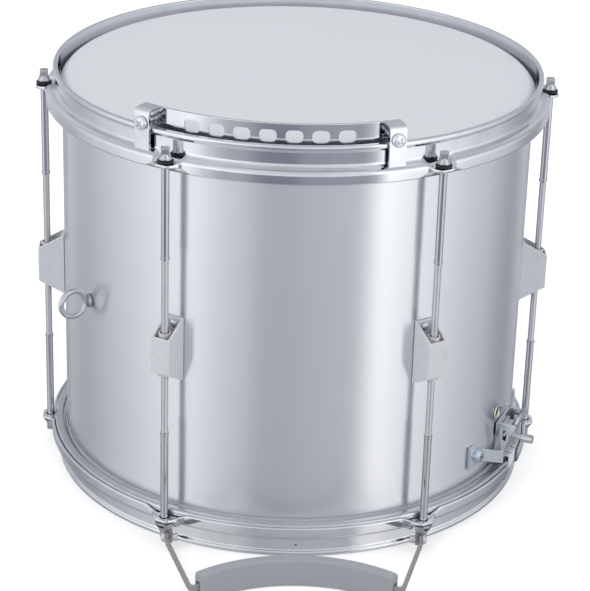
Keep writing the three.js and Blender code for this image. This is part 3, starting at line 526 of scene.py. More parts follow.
class CopiesRoundAxis(Maker):
    """Sets copies of a piece round the drum's axis."""

    def __init__(self) -> None:
        """Builds the tree."""
        sizes = {"Count": "Int", "First": "Float", "Step": "Float", "Axis Y": "Float"}
        super().__init__("copies_round_axis", sizes)
        entry = self.entry
        line = self.node("GeometryNodeMeshLine", {}, {"Offset": (0.0, 0.0, 0.0), "Count": entry["Count"]})
        index = self.node("GeometryNodeInputIndex").outputs[0]
        values = {0: index, 1: entry["Step"], 2: entry["First"]}
        angle = self.node("ShaderNodeMath", {"operation": "MULTIPLY_ADD"}, values)
        turned = self.node("ShaderNodeCombineXYZ", {}, {"Z": angle.outputs[0]})
        real = self.repeated(line.outputs["Mesh"], entry["Geometry"], turned.outputs[0])
        offset = self.node("ShaderNodeCombineXYZ", {}, {"Y": entry["Axis Y"]}).outputs[0]
        placed = self.node("GeometryNodeTransform", {}, {"Geometry": real, "Translation": offset})
        self.end(placed.outputs[0])

    def apply(self, obj: Piece, count: int, first: float, step: float, material: Finish | None) -> Piece:
        """Turns an object that was made on the axis into its copies.

        Args:
            obj: the piece at azimuth 0.
            count: how many copies.
            first: the first copy's azimuth, in degrees.
            step: the azimuth between two copies, in degrees.
            material: the finish, or None for a cutter.

        Returns:
            The object, now all the copies in their places.
        """
        first, step = math.radians(first), math.radians(step)
        values = {"Count": count, "First": first, "Step": step, "Axis Y": AXIS_Y}
        return self.run(obj, {**values, "Material": material})

    def at_stations(self, obj: Piece, material: Finish) -> Piece:
        """Turns an object that was made on the axis into its copies at the six rods."""
        return self.apply(obj, len(SIZES.stations), SIZES.first_station, SIZES.station_step, material)


class Strands(Maker):
    """Lays straight snare strands side by side."""

    def __init__(self) -> None:
        """Builds the tree."""
        sizes = {"Count": "Int", "Pitch": "Float", "Length": "Float", "Radius": "Float"}
        super().__init__("snare_strands", sizes)
        entry = self.entry
        offset = self.node("ShaderNodeCombineXYZ", {}, {"X": entry["Pitch"]}).outputs[0]
        line = self.node("GeometryNodeMeshLine", {}, {"Count": entry["Count"], "Offset": offset})
        values = {"Vertices": 10, "Side Segments": 1, "Radius": entry["Radius"], "Depth": entry["Length"]}
        strand = self.node("GeometryNodeMeshCylinder", {}, values)
        lying = (math.pi / 2, 0.0, 0.0)
        self.end(self.repeated(line.outputs["Mesh"], strand.outputs["Mesh"], lying))

    def apply(
        self, obj: Piece, count: int, pitch: float, length: float, radius: float, material: Finish
    ) -> Piece:
        """Gives an empty mesh object the strands.

        Args:
            obj: the object.
            count: how many strands.
            pitch: the distance between two strands, in millimetres.
            length: a strand's length, in millimetres.
            radius: a strand's radius, in millimetres.
            material: the finish.

        Returns:
            The object, with the first strand at x 0.
        """
        sizes = {"Pitch": pitch * MM, "Length": length * MM, "Radius": radius * MM}
        return self.run(obj, {"Count": count, **sizes, "Material": material})


# Shader maths


class Term:
    """A number in a shader. Arithmetic on it adds Math nodes."""

    def __init__(self, shader: "Shader", socket: Socket) -> None:
        """Wraps a socket."""
        self.shader = shader
        self.socket = socket

    def _math(self, operation: str, *values: "Term | float") -> "Term":
        """Adds one Math node."""
        node = self.shader.node("ShaderNodeMath", {"operation": operation}, dict(enumerate(values)))
        return Term(self.shader, node.outputs[0])

    def __add__(self, other: "Term | float") -> "Term":
        """Self plus other."""
        return self._math("ADD", self, other)

    __radd__ = __add__

    def __sub__(self, other: "Term | float") -> "Term":
        """Self minus other."""
        return self._math("SUBTRACT", self, other)

    def __rsub__(self, other: float) -> "Term":
        """Other minus self."""
        return self._math("SUBTRACT", other, self)

    def __mul__(self, other: "Term | float") -> "Term":
        """Self times other."""
        return self._math("MULTIPLY", self, other)

    __rmul__ = __mul__

    def __truediv__(self, other: "Term | float") -> "Term":
        """Self divided by other."""
        return self._math("DIVIDE", self, other)

    def atan2(self, other: "Term | float") -> "Term":
        """The angle whose sine is self and cosine is other."""
        return self._math("ARCTAN2", self, other)

    def eased(self, low: float, high: float, to_low: float = 0.0, to_high: float = 1.0) -> "Term":
        """Maps self smoothly from one range to another, held at both ends."""
        settings = {"interpolation_type": "SMOOTHSTEP"}
        values = {"Value": self, "From Min": low, "From Max": high, "To Min": to_low, "To Max": to_high}
        return Term(self.shader, self.shader.node("ShaderNodeMapRange", settings, values).outputs[0])


class Shader(Nodes):
    """A material's or world's nodes."""

    def term(self, node: bpy.types.Node, output: str | int = 0) -> Term:
        """A node's output as a term."""
        return Term(self, node.outputs[output])

    def parts(self, vector: Socket) -> tuple[Term, Term, Term]:
        """A vector's x, y and z."""
        split = self.node("ShaderNodeSeparateXYZ", {}, {0: vector})
        return self.term(split, 0), self.term(split, 1), self.term(split, 2)

    def noise(self, vector: Socket, scale: float, detail: float = 3.0, rough: float = 0.5) -> Term:
        """A noise pattern from 0 to 1."""
        values = {"Vector": vector, "Scale": scale, "Detail": detail, "Roughness": rough}
        return self.term(self.node("ShaderNodeTexNoise", {}, values), "Fac")

    def place(self) -> Socket:
        """The Object coordinates."""
        return self.node("ShaderNodeTexCoord").outputs["Object"]

    def stretched(self, vector: Socket, scale: tuple[float, float, float]) -> Socket:
        """Coordinates multiplied along each axis."""
        values = {"Vector": vector, "Scale": scale, "Location": (0.0, 0.0, 0.0)}
        return self.node("ShaderNodeMapping", {}, values).outputs[0]

    def round_axis(self, radius: float) -> Socket:
        """Coordinates unrolled from a cylinder round the drum's axis: along, reach and level, in metres."""
        x, y, z = self.parts(self.place())
        along = x.atan2((y - AXIS_Y) * -1.0) * (radius * MM)
        return self.node("ShaderNodeCombineXYZ", {}, {0: along, 1: radius * MM, 2: z}).outputs[0]

    def mix(self, share: Term | float, first: Colour | Socket, second: Colour | Socket) -> Socket:
        """Mixes two colours."""
        values = {"Factor": share, 6: first, 7: second}
        return self.node("ShaderNodeMix", {"data_type": "RGBA"}, values).outputs[2]

    def vector(self, operation: str, values: dict) -> Socket:
        """Adds one Vector Math node."""
        return self.node("ShaderNodeVectorMath", {"operation": operation}, values).outputs[0]

    def bump(self, height: Term, depth: float, strength: float = 1.0) -> Socket:
        """A normal from a height from 0 to 1 and its depth in millimetres."""
        values = {"Height": height, "Distance": depth * MM, "Strength": strength}
        return self.node("ShaderNodeBump", {}, values).outputs[0]

    def surface(self, values: dict) -> None:
        """Ends the material in one Principled shader with these inputs."""
        principled = self.node("ShaderNodeBsdfPrincipled", {}, values)
        self.node("ShaderNodeOutputMaterial", {}, {"Surface": principled.outputs[0]})


def tone(level: int, warmth: float = 0.0, yellow: float = 0.0) -> Colour:
    """A nearly grey colour, with the studio light's cool cast painted in.

    Args:
        level: its brightness as a screen value from 0 to 255.
        warmth: how far red goes above and blue goes below it, as a share.
        yellow: how much further blue goes down, as a share.

    Returns:
        The linear colour.
    """
    linear = ((level / 255 + 0.055) / 1.055) ** 2.4
    blue = linear * (1 - warmth) * (1 - yellow)
    # painted light: every colour takes the studio light's cool cast
    return (linear * (1 + warmth) * PAINTED_LIGHT_CAST[0], linear * PAINTED_LIGHT_CAST[1], blue * PAINTED_LIGHT_CAST[2], 1.0)


def new_material(name: str) -> tuple[Finish, Shader]:
    """A node material and its nodes."""
    material = bpy.data.materials.new(name)
    material.use_nodes = True
    return material, Shader(material.node_tree)


@dataclass(frozen=True)
class BrushedShell:
    """Aluminium sheet, brushed round the drum."""

    name: str = "brushed_shell"
    level: int = 232
    roughness: float = 0.26
    stretch: float = 0.9
    hair: tuple[float, float, float] = (22.0, 1.0, 5200.0)
    streak: tuple[float, float, float] = (5.0, 1.0, 900.0)

    def build(self) -> Finish:
        """Builds the material."""
        material, shader = new_material(self.name)
        flat = shader.round_axis(SIZES.shell_radius)
        hair = shader.noise(shader.stretched(flat, self.hair), 1.0, 2.0, 0.6)
        streak = shader.noise(shader.stretched(flat, self.streak), 1.0, 3.0, 0.55)
        cloud = shader.noise(flat, 14.0, 2.0)
        shader.surface({
            "Base Color": shader.mix(streak * 0.5 + hair * 0.5, tone(self.level - 2), tone(self.level + 2)),
            "Metallic": 1.0,
            "Roughness": self.roughness + (hair - 0.5) * 0.04 + (cloud - 0.5) * 0.03,
            "Anisotropic": self.stretch,
            "Anisotropic Rotation": 0.25,
            "Normal": shader.bump(streak, 0.002, 0.2),
        })
        return material


@dataclass(frozen=True)
class Plated:
    """A plated or polished metal, with a slight ripple and faint wiping marks."""

    name: str
    level: int = 226
    warmth: float = 0.0
    yellow: float = 0.0
    roughness: float = 0.07
    smudge: float = 0.05
    ripple: float = 0.006
    ripple_scale: float = 90.0
    grain: float = 0.0
    metallic: float = 1.0

    def build(self) -> Finish:
        """Builds the material."""
        material, shader = new_material(self.name)
        place = shader.place()
        marks = shader.noise(place, 55.0, 4.0, 0.6).eased(0.42, 0.68)
        ripple = shader.noise(place, self.ripple_scale, 1.0)
        fine = shader.noise(place, 2600.0, 2.0)
        clean, wiped = (tone(level, self.warmth, self.yellow) for level in (self.level, self.level - 6))
        shader.surface({
            "Base Color": shader.mix(marks, clean, wiped),
            "Metallic": self.metallic,
            "Roughness": self.roughness + marks * self.smudge + (fine - 0.5) * self.grain,
            "Normal": shader.bump(ripple + fine * (self.grain * 0.25), self.ripple, 0.6),
        })
        return material


@dataclass(frozen=True)
class Painted:
    """A satin sprayed or cast finish with a fine peel."""

    name: str
    level: int
    warmth: float = -0.015
    roughness: float = 0.38
    peel: float = 0.02

    def build(self) -> Finish:
        """Builds the material."""
        material, shader = new_material(self.name)
        place = shader.place()
        peel = shader.noise(place, 900.0, 2.0)
        dust = shader.noise(place, 120.0, 4.0, 0.65).eased(0.5, 0.75)
        shader.surface({
            "Base Color": shader.mix(dust, tone(self.level, self.warmth), tone(self.level - 10, self.warmth)),
            "Roughness": self.roughness + dust * 0.10 + (peel - 0.5) * 0.06,
            "Normal": shader.bump(peel, self.peel, 0.5),
        })
        return material


@dataclass(frozen=True)
class Film:
    """A drum head: plastic film, plain or with a fine sprayed coating."""

    name: str
    level: int
    grain: float
    roughness: float
    warmth: float = -0.012

    def build(self) -> Finish:
        """Builds the material."""
        material, shader = new_material(self.name)
        place = shader.place()
        spray = shader.noise(place, 1500.0, 3.0, 0.7)
        mist = shader.noise(place, 26.0, 3.0)
        dark, pale = (tone(level, self.warmth) for level in (self.level - 3, self.level + 3))
        shader.surface({
            "Base Color": shader.mix(spray * 0.6 + mist * 0.4, dark, pale),
            "Roughness": self.roughness + (spray - 0.5) * 0.2,
            "Specular IOR Level": 0.35,
            "Normal": shader.bump(spray, self.grain, 0.5),
        })
        return material


@dataclass(frozen=True)
class Moulded:
    """Rubber, nylon or foam skin with a matt grain."""

    name: str
    level: int
    warmth: float = -0.015
    roughness: float = 0.6
    grain: float = 0.03
    grain_scale: float = 1100.0
    sheen: float = 0.0

    def build(self) -> Finish:
        """Builds the material."""
        material, shader = new_material(self.name)
        place = shader.place()
        grain = shader.noise(place, self.grain_scale, 3.0, 0.6)
        wear = shader.noise(place, 40.0, 4.0, 0.6)
        dark, pale = (tone(level, self.warmth) for level in (self.level - 5, self.level + 5))
        shader.surface({
            "Base Color": shader.mix(wear, dark, pale),
            "Roughness": self.roughness + (grain - 0.5) * 0.16 + (wear - 0.5) * 0.1,
            "Sheen Weight": self.sheen,
            "Normal": shader.bump(grain, self.grain, 0.6),
        })
        return material


# The drum's ends


class Blend(Enum):
    """How a hoop turns into an ear: where the change starts beside the rod and its length, in millimetres."""

    TAB = (4.0, 8.0)
    TOP = (7.0, 7.0)
    EDGE = (7.0, 13.0)

    def share(self, away: float) -> float:
        """How far the change has gone at a distance from the rod, from 0 to 1 at the ear."""
        start, length = self.value
        t = max(0.0, min(1.0, (away - start) / length))
        return 1.0 - t * t * (3 - 2 * t)


@dataclass(frozen=True)
class Corner:
    """A corner of a hoop's section, with each number first between the ears and then at an ear."""

    reach: tuple[float, float]
    depth: tuple[float, float]
    rounding: tuple[float, float]
    reach_by: Blend = Blend.TOP
    depth_by: Blend = Blend.TOP


def mixed(pair: tuple[float, float], share: float) -> float:
    """The number a share of the way from the first to the second."""
    return pair[0] + (pair[1] - pair[0]) * share


@dataclass
class Counterhoop:
    """A bent chrome hoop with an ear at each rod, and its head and flesh hoop."""

    end: End
    inner: float = 180.6
    sheet: float = 2.2
    rim: float = 160.0
    lip_outer: float = 184.4
    lip_height: float = 3.4
    lip_under: float = 1.2
    wall_depth: float = 15.2
    shoulder_drop: float = 2.6
    skirt_depth: float = 26.3
    skirt_outer: float = 190.2
    ear_depth: float = 19.8
    ear_outer: float = 197.8
    ear_reach: float = 28.0
    hole: float = 3.7
    gate_width: float = 26.0
    gate_rim: float = 5.0
    drain: tuple[float, float] = (0.4, 9.4)
    drain_radius: float = 1.1
    film_top: float = 153.1
    film_under: float = 152.7
    film_flat: float = 174.8
    collar_outer: float = 178.6
    collar_inner: float = 178.2
    bend_outer: float = 148.7
    bend_inner: float = 148.3
    film_steps: int = 240

    def corners(self) -> list[Corner]:
        """The section's corners, from the rim round the outside."""
        inner, lip, outer, ear = self.inner, self.lip_outer, self.skirt_outer, self.ear_outer
        depth, edge, sheet = self.ear_depth, self.skirt_depth, self.sheet
        wall = inner + sheet
        skirt = outer - sheet
        shoulder = self.wall_depth + self.shoulder_drop
        under = depth + sheet
        mid = wall + 0.52 * (outer - wall)
        mid_depth = self.wall_depth + 0.36 * self.shoulder_drop
        low_lip = self.lip_height + self.lip_under
        return [
            Corner((inner, inner), (0.0, 0.0), (0.9, 0.9)),
            Corner((lip, lip), (0.0, 0.0), (2.0, 2.0)),
            Corner((lip, lip), (self.lip_height, self.lip_height), (1.6, 1.6)),
            Corner((wall, wall), (low_lip, low_lip), (1.6, 1.6)),
            Corner((wall, wall), (self.wall_depth, depth), (2.6, 2.2)),
            Corner((mid, outer), (mid_depth, depth), (3.0, 1.0)),
            Corner((outer, ear), (shoulder, depth), (3.0, 0.9), Blend.TAB),
            Corner((outer, ear), (edge, under), (1.0, 0.9), Blend.TAB, Blend.EDGE),
            Corner((skirt, outer), (edge, under), (0.8, 1.0), Blend.TAB, Blend.EDGE),
            Corner((skirt, wall + 1.0), (shoulder + 0.6, under), (1.6, 1.0)),
            Corner((mid - 1.0, wall), (mid_depth + sheet, under), (2.0, 0.6)),
            Corner((inner, inner), (self.wall_depth + sheet, under), (1.0, 0.8)),
        ]

    def offsets(self) -> list[float]:
        """Azimuths from one ear's middle to the next ear's, finer near the ears."""
        step = SIZES.station_step
        near = math.degrees(self.ear_reach / SIZES.rod_circle)
        half = [*spread(0.0, near, 34), *spread(near, step / 2, 22)[1:]]
        return [*half, *(step - offset for offset in reversed(half[1:-1]))]

    def section(self, offset: float) -> list[tuple[float, float]]:
        """The hoop's section at an azimuth from an ear's middle, from the middle up."""
        away = math.radians(min(offset, SIZES.station_step - offset)) * SIZES.rod_circle
        outline, radii = [], []
        for corner in self.corners():
            bent = corner.depth_by.share(away)
            outline.append((mixed(corner.reach, corner.reach_by.share(away)), mixed(corner.depth, bent)))
            radii.append(mixed(corner.rounding, bent))
        return [(r, self.rim - depth) for r, depth in rounded(outline, radii, 5)]

    def hoop(self, chrome: Finish) -> None:
        """Makes the counterhoop."""
        end, name = self.end, self.end.value
        rings = []
        for _, station in SIZES.stations:
            for offset in self.offsets():
                azimuth = end.azimuth(station) + offset
                rings.append([polar(r, azimuth, z) for r, z in self.section(offset)])
        rings.sort(key=lambda ring: math.atan2(ring[0][0], -ring[0][1]))
        hoop = make(f"{name}_counterhoop", Draft().sweep(rings, closed=True).moved(end.matrix()))
        bore = peg(self.hole, self.rim - self.skirt_depth - OVERRUN, self.rim - self.ear_depth + OVERRUN, 32)
        cutters = [make("bore", bore.moved(end.at_rod(station))) for _, station in SIZES.stations]
        if end is End.SNARE:
            near, far = self.inner - OVERRUN, self.skirt_outer + OVERRUN
            opening = block(near, far, self.gate_rim, self.skirt_depth + OVERRUN)
            gate = Draft().across(opening, self.gate_width)
            for side in (0, 180):
                cutters.append(make("gate", gate.moved(turn(SIZES.strainer_azimuth + side))))
            azimuth, level = self.drain
            drill = peg(self.drain_radius, near, far, 24)
            cutters.append(make("drain", drill.moved(turn(azimuth) @ outward(level))))
        combine(hoop, cutters, Boolean.CUT)
        settle(polish(hoop), chrome, "drum", "hoop_chrome", f"{name}_hoop")

    def head(self, film: Finish, metal: Finish) -> None:
        """Makes the film and its flesh hoop."""
        name, place, steps = self.end.value, self.end.matrix(), self.film_steps
        low, high, flat = SIZES.flesh_low, SIZES.flesh_high, self.film_flat
        outside, inside, under = self.collar_outer, self.collar_inner, self.film_under
        upper = [(0.0, self.film_top), (flat, self.film_top), (outside, self.bend_outer), (outside, low)]
        lower = [(inside, low), (inside, self.bend_inner), (flat, under), (0.0, under)]
        outline = [
            *rounded(upper, [0, 5.0, 2.0, 0], 8, closed=False),
            *rounded(lower, [0, 2.0, 5.0, 0], 8, closed=False),
        ]
        skin = make(f"{name}_film", Draft().lathe(outline, steps).moved(place))
        settle(polish(skin), film, "drum", f"{name}_film", f"{name}_head")
        inner, bead, outer = SIZES.flesh_inner, SIZES.flesh_inner + 2.2, SIZES.flesh_outer + 0.8
        corners = [
            (inner, low + 4.0), (bead, low + 3.4), (bead, low),
            (outer, low), (outer, high), (inner, high),
        ]
        outline = rounded(corners, [0.3, 0.3, 2.6, 2.6, 1.2, 0.4], 6)
        ring = make(f"{name}_flesh_ring", Draft().lathe(outline, steps).moved(place))
        settle(polish(ring), metal, "drum", "flesh_hoop_aluminium", f"{name}_flesh_hoop")


@dataclass
class TensionRods:
    """The rods and washers of one end."""

    end: End
    sides: int = 24
    shank: float = 2.9
    thread: float = 2.62
    groove: float = 0.2
    pitch: float = 0.8
    steps_per_pitch: int = 6
    tail: float = 1.5
    thread_length: float = 66.0
    fade_in: float = 1.6
    fade_out: float = 1.2
    flange: float = 4.9
    cone: float = 3.4
    flange_height: float = 1.3
    head_width: float = 6.2
    head_height: float = 7.6
    washer_outer: float = 5.9
    washer_bore: float = 3.3
    washer_height: float = 2.0
    gap: float = 0.3
    bracket: float = 2.5

    def ring(self, radius: float, level: float) -> list[Point]:
        """A round section of the rod."""
        angles = (ONE_TURN * i / self.sides for i in range(self.sides))
        return [(radius * math.cos(a), radius * math.sin(a), level) for a in angles]

    def threaded(self, level: float, depth: float) -> list[Point]:
        """A section through the thread, whose groove has this depth."""
        ring = []
        for i in range(self.sides):
            angle = ONE_TURN * i / self.sides
            wave = 0.5 - 0.5 * math.cos(ONE_TURN * (level / self.pitch) - angle)
            radius = self.thread - depth * wave
            ring.append((radius * math.cos(angle), radius * math.sin(angle), level))
        return ring

    def seat(self, lift: float) -> float:
        """The level of the flange's underside."""
        return SIZES.ear_top + lift + self.washer_height + 2 * self.gap

    def rod(self, lift: float) -> Draft:
        """One rod, upright on the z axis, from the middle up."""
        seat = self.seat(lift)
        top = seat + self.flange_height
        crest, step = self.tail + self.thread_length, self.pitch / self.steps_per_pitch
        rings = []
        for level in spread(self.tail, crest, int((crest - self.tail) / step)):
            fade = min(1.0, (level - self.tail) / self.fade_in, (crest - level) / self.fade_out)
            rings.append(self.threaded(level, self.groove * max(fade, 0.25)))
        neck, shank, flange = self.shank + 0.35, self.shank, self.flange
        stem = [
            (neck, crest + 0.4), (neck, crest + 2.2), (shank, crest + 2.6), (shank, seat),
            (flange - 0.3, seat), (flange, seat + 0.3), (flange, seat + 0.8), (flange - 0.5, seat + 1.3),
            (shank + 0.5, top + self.cone - 0.4), (shank, top + self.cone),
        ]
        return Draft().sweep([*rings, *(self.ring(radius, level) for radius, level in stem)])

    def key_head(self, lift: float) -> Draft:
        """The square head that takes the key, with its edges rounded."""
        low = self.seat(lift) + self.flange_height
        high, half = low + self.head_height, self.head_width / 2
        levels = [(half, low + 0.9), (half, high - 0.9), (half - 0.25, high - 0.35), (half - 0.8, high)]
        rings = []
        for size, level in levels:
            corners = [(-size, -size), (size, -size), (size, size), (-size, size)]
            rings.append([(x, y, level) for x, y in rounded(corners, 0.8, 3)])
        return Draft().sweep(rings)

    def build(self, zinc: Finish, black: Finish) -> None:
        """Makes the rods, one for each body, with their heads square to the front, and the washers."""
        side = self.end.value
        for name, station in SIZES.stations:
            lift = self.bracket if self.end is End.SNARE and name.startswith("front") else 0.0
            place = self.end.at_rod(station)
            body = f"{side}_rod_{name}"
            head = self.key_head(lift).moved(turn(-self.end.azimuth(station)))
            rod = make(f"{body}_turned", self.rod(lift).add(head).moved(place))
            settle(polish(rod, 40.0), zinc, body, "rod_zinc", body)
            low = SIZES.ear_top + lift + self.gap
            section = block(self.washer_bore, self.washer_outer, low, low + self.washer_height)
            disc = Draft().lathe(rounded(section, 0.6, 4), 48)
            washer = make(f"{side}_washer_ring_{name}", disc.moved(place))
            settle(polish(washer), black, "drum", "washer_black", f"{side}_washer_{name}")


# The shell and what is on it


@dataclass
class Shell:
    """The sheet cylinder, with its turned-in edges and the vent's hole."""

    wall: float = 2.0
    edge_level: float = 152.4
    edge_rise: float = 4.4
    edge_reach: float = 3.4
    vent_azimuth: float = 61.4
    vent_level: float = 70.6
    vent_bore: float = 3.6
    vent_hole: float = 5.1
    vent_area: float = 7.0

    def columns(self) -> list[float]:
        """Azimuths every degree, and finer round the vent."""
        coarse = [float(a) for a in range(360) if not 58 < a < 65]
        return sorted([*coarse, *spread(59.0, 64.0, 16)[1:-1], 59.0, 64.0])

    def build(self, metal: Finish) -> None:
        """Makes the shell."""
        middle, radius = SIZES.middle, SIZES.shell_radius
        bend = self.edge_level - self.edge_rise
        edge = [(radius, bend), (radius - self.edge_reach, self.edge_level)]
        vent = self.vent_level - middle
        fine = spread(vent - self.vent_area, vent + self.vent_area, 14)
        side = [(radius, z) for z in (-bend + 4, *fine, -20.0, 20.0, 80.0, bend - 4)]
        profile = [(r, -z) for r, z in reversed(edge)] + side + edge
        columns = self.columns()
        draft = Draft()
        for azimuth in columns:
            draft.points.extend(polar(r, azimuth, z + middle) for r, z in profile)
        size, count = len(profile), len(columns)
        for i in range(count):
            nearest = (columns[i] + (columns[(i + 1) % count] or 360.0)) / 2
            for j in range(size - 1):
                level = middle + (profile[j][1] + profile[j + 1][1]) / 2
                away = math.radians(nearest - self.vent_azimuth) * radius
                if math.hypot(away, level - self.vent_level) < self.vent_hole:
                    continue
                a, b = i * size + j, ((i + 1) % count) * size + j
                draft.faces.append((a, b, b + 1, a + 1))
        shell = make("shell_sheet", draft)
        mod = shell.modifiers.new("wall", "SOLIDIFY")
        mod.thickness = self.wall * MM
        mod.offset = -1.0
        bake(shell)
        settle(polish(shell, 40.0), metal, "drum", "shell_aluminium", "shell")

    def eyelet(self, brass: Finish) -> None:
        """Makes the vent's flanged tube."""
        outer, inner, bore = SIZES.seat, SIZES.shell_radius - self.wall - 0.6, self.vent_bore
        outline = [
            (bore, inner - 1.0), (6.2, inner - 1.0), (6.5, inner), (4.6, inner), (4.6, outer),
            (5.8, outer), (5.6, outer + 0.4), (4.8, outer + 0.9), (4.2, outer + 0.6), (bore, outer - 0.4),
        ]
        tube = Draft().lathe(rounded(outline, 0.35, 3), 64)
        ring = make("vent_ring", tube.moved(turn(self.vent_azimuth) @ outward(self.vent_level)))
        settle(polish(ring), brass, "drum", "vent_brass", "vent_eyelet")


@dataclass
class Lugs:
    """The cast lugs, the nuts that they hold, dark felts round the nuts that stand in for the painted shade
    inside the lugs' pockets, and the lugs' screws.
    """

    copies: CopiesRoundAxis
    width: float = 15.6
    rear: float = 49.8
    front: float = 27.4
    depth: float = 20.2
    wall: float = 1.8
    front_wall: float = 1.2
    bridge: float = 7.0
    nut: float = 4.7
    nut_bore: float = 3.3
    collar: float = 5.2
    collar_height: float = 3.0
    nut_length: float = 34.0
    gap: float = 0.3
    shade_felt_end: float = 11.6
    screw_rise: float = 19.6

    def names(self, start: str) -> list[str]:
        """The six CAD nodes whose names start so."""
        return [f"{start}_{name}" for name, _ in SIZES.stations]

    def cavity(self) -> tuple[float, float]:
        """The inner faces of the back and front walls."""
        return SIZES.seat + self.wall, SIZES.seat + self.depth - self.front_wall

    def castings(self, paint: Finish) -> None:
        """Makes the lugs."""
        back, level = SIZES.seat, SIZES.lug_level
        front = back + self.depth
        outline = [
            (back, level - self.rear / 2), (front, level - self.front / 2),
            (front, level + self.front / 2), (back, level + self.rear / 2),
        ]
        body = soften(make("lug_castings", Draft().across(outline, self.width), on_axis=True), 0.8, 3)
        cutters = []
        for side in (-1, 1):
            near, far = level + side * self.bridge / 2, level + side * self.rear
            pocket = block(*self.cavity(), min(near, far), max(near, far))
            cutters.append(make("pocket", Draft().across(pocket, self.width - 2 * self.wall), on_axis=True))
        bore = peg(self.nut + self.gap, level - 9, level + 9, 40)
        on_circle = Matrix.Translation((0, -SIZES.rod_circle, 0))
        cutters.append(make("bore", bore.moved(on_circle), on_axis=True))
        combine(body, cutters, Boolean.CUT)
        polish(soften(body, 0.25, 2, 50.0))
        self.copies.at_stations(body, paint)
        settle(body, paint, "drum", "lug_grey", *self.names("lug"))

    def nuts(self, cream: Finish) -> None:
        """Makes the through-threaded nuts."""
        half, seat = self.nut_length / 2, self.bridge / 2 + self.gap
        top, bore, barrel = seat + self.collar_height, self.nut_bore, self.nut
        outline = [
            (bore, -half), (barrel, -half), (barrel, seat), (self.collar, seat),
            (self.collar, top), (barrel, top), (barrel, half), (bore, half),
        ]
        place = Matrix.Translation((0, -SIZES.rod_circle, SIZES.lug_level))
        nuts = make("lug_barrels", Draft().lathe(rounded(outline, 0.4, 3), 40).moved(place), on_axis=True)
        self.copies.at_stations(polish(nuts), cream)
        settle(nuts, cream, "drum", "lug_nut", *self.names("lug_nut"))

    def filling(self, dark: Finish, zinc: Finish) -> None:
        """Makes the dark felts round the nuts, which paint the shade inside the pockets, and the screws in
        the back walls.
        """
        level = SIZES.lug_level
        inner, outer = self.cavity()
        # painted shade: dark felts fill the pockets so that the lugs look shaded inside
        shade_felt, heads = Draft(), Draft()
        head = rounded([(0.0, 0.1), (2.9, 0.1), (2.9, 0.9), (1.8, 1.8), (0.0, 1.9)], [0, 0.1, 0.6, 0.8, 0], 3)
        for side in (-1, 1):
            near, far = level + side * (self.bridge / 2 + 0.1), level + side * self.shade_felt_end
            section = block(inner + 0.1, outer - 0.1, min(near, far), max(near, far))
            shade_felt.add(Draft().across(section, self.width - 2 * self.wall - 0.2))
            seat = Matrix.Translation((0, -inner, level + side * self.screw_rise))
            heads.add(Draft().lathe(head, 28).moved(seat @ outward(0.0)))
        shade_felts = make("lug_shade_felts", shade_felt, on_axis=True)
        sleeve = peg(self.collar + self.gap, level - 14, level + 14, 40)
        on_circle = Matrix.Translation((0, -SIZES.rod_circle, 0))
        combine(shade_felts, [make("bore", sleeve.moved(on_circle), on_axis=True)], Boolean.CUT)
        self.copies.at_stations(polish(shade_felts), dark)
        settle(shade_felts, dark, "drum", "lug_nut")
        screws = polish(make("lug_screws", heads, on_axis=True))
        self.copies.at_stations(screws, zinc)
        settle(screws, zinc, "drum", "lug_nut")


@dataclass
class EyeBolt:
    """The upright ring on its rosette."""

    azimuth: float = -59.6
    level: float = 162.0
    ring: float = 10.0
    wire: float = 2.15
    rosette: float = 5.3
    rosette_height: float = 2.4
    shank: float = 2.5
    nut: float = 4.6
    nut_height: float = 3.4

    def build(self, chrome: Finish, dark: Finish) -> None:
        """Makes the ring and its rosette, with the shank and nut that hold it."""
        seat = SIZES.seat
        reach = seat + self.rosette_height / 2 + self.ring + self.wire
        angles = (ONE_TURN * i / 24 for i in range(24))
        circle = [(self.ring + self.wire * math.cos(a), self.wire * math.sin(a)) for a in angles]
        upright = Matrix.Translation((0, -reach, 0)) @ Matrix.Rotation(math.pi / 2, 4, "Y")
        place = Matrix.Translation((0, 0, self.level)) @ turn(self.azimuth)
        ring = make("eye_ring", Draft().lathe(circle, 72).moved(upright).moved(place))
        settle(polish(ring), chrome, "drum", "eye_chrome", "eye_bolt")
        top = seat + self.rosette_height
        face = [
            (0.0, seat), (self.rosette, seat), (self.rosette, seat + 1.3),
            (self.rosette - 1.2, top), (2.8, top + 0.3), (0.0, top + 0.3),
        ]
        foot = Draft().lathe(rounded(face, [0, 0.3, 0.6, 0.8, 0.6, 0], 3), 48)
        inner = SIZES.shell_radius - 2.3
        end, nut, shank = inner - self.nut_height, self.nut, self.shank
        outline = [
            (0.0, end), (nut, end), (nut, inner), (shank, inner), (shank, seat + 1.0), (0.0, seat + 1.0),
        ]
        tail = Draft().lathe(outline, 6)
        rosette = make("eye_rosette", foot.moved(outward(0.0)).moved(place))
        combine(rosette, [make("tail", tail.moved(outward(0.0)).moved(place))], Boolean.JOIN)
        settle(polish(rosette), dark, "drum", "eye_chrome")


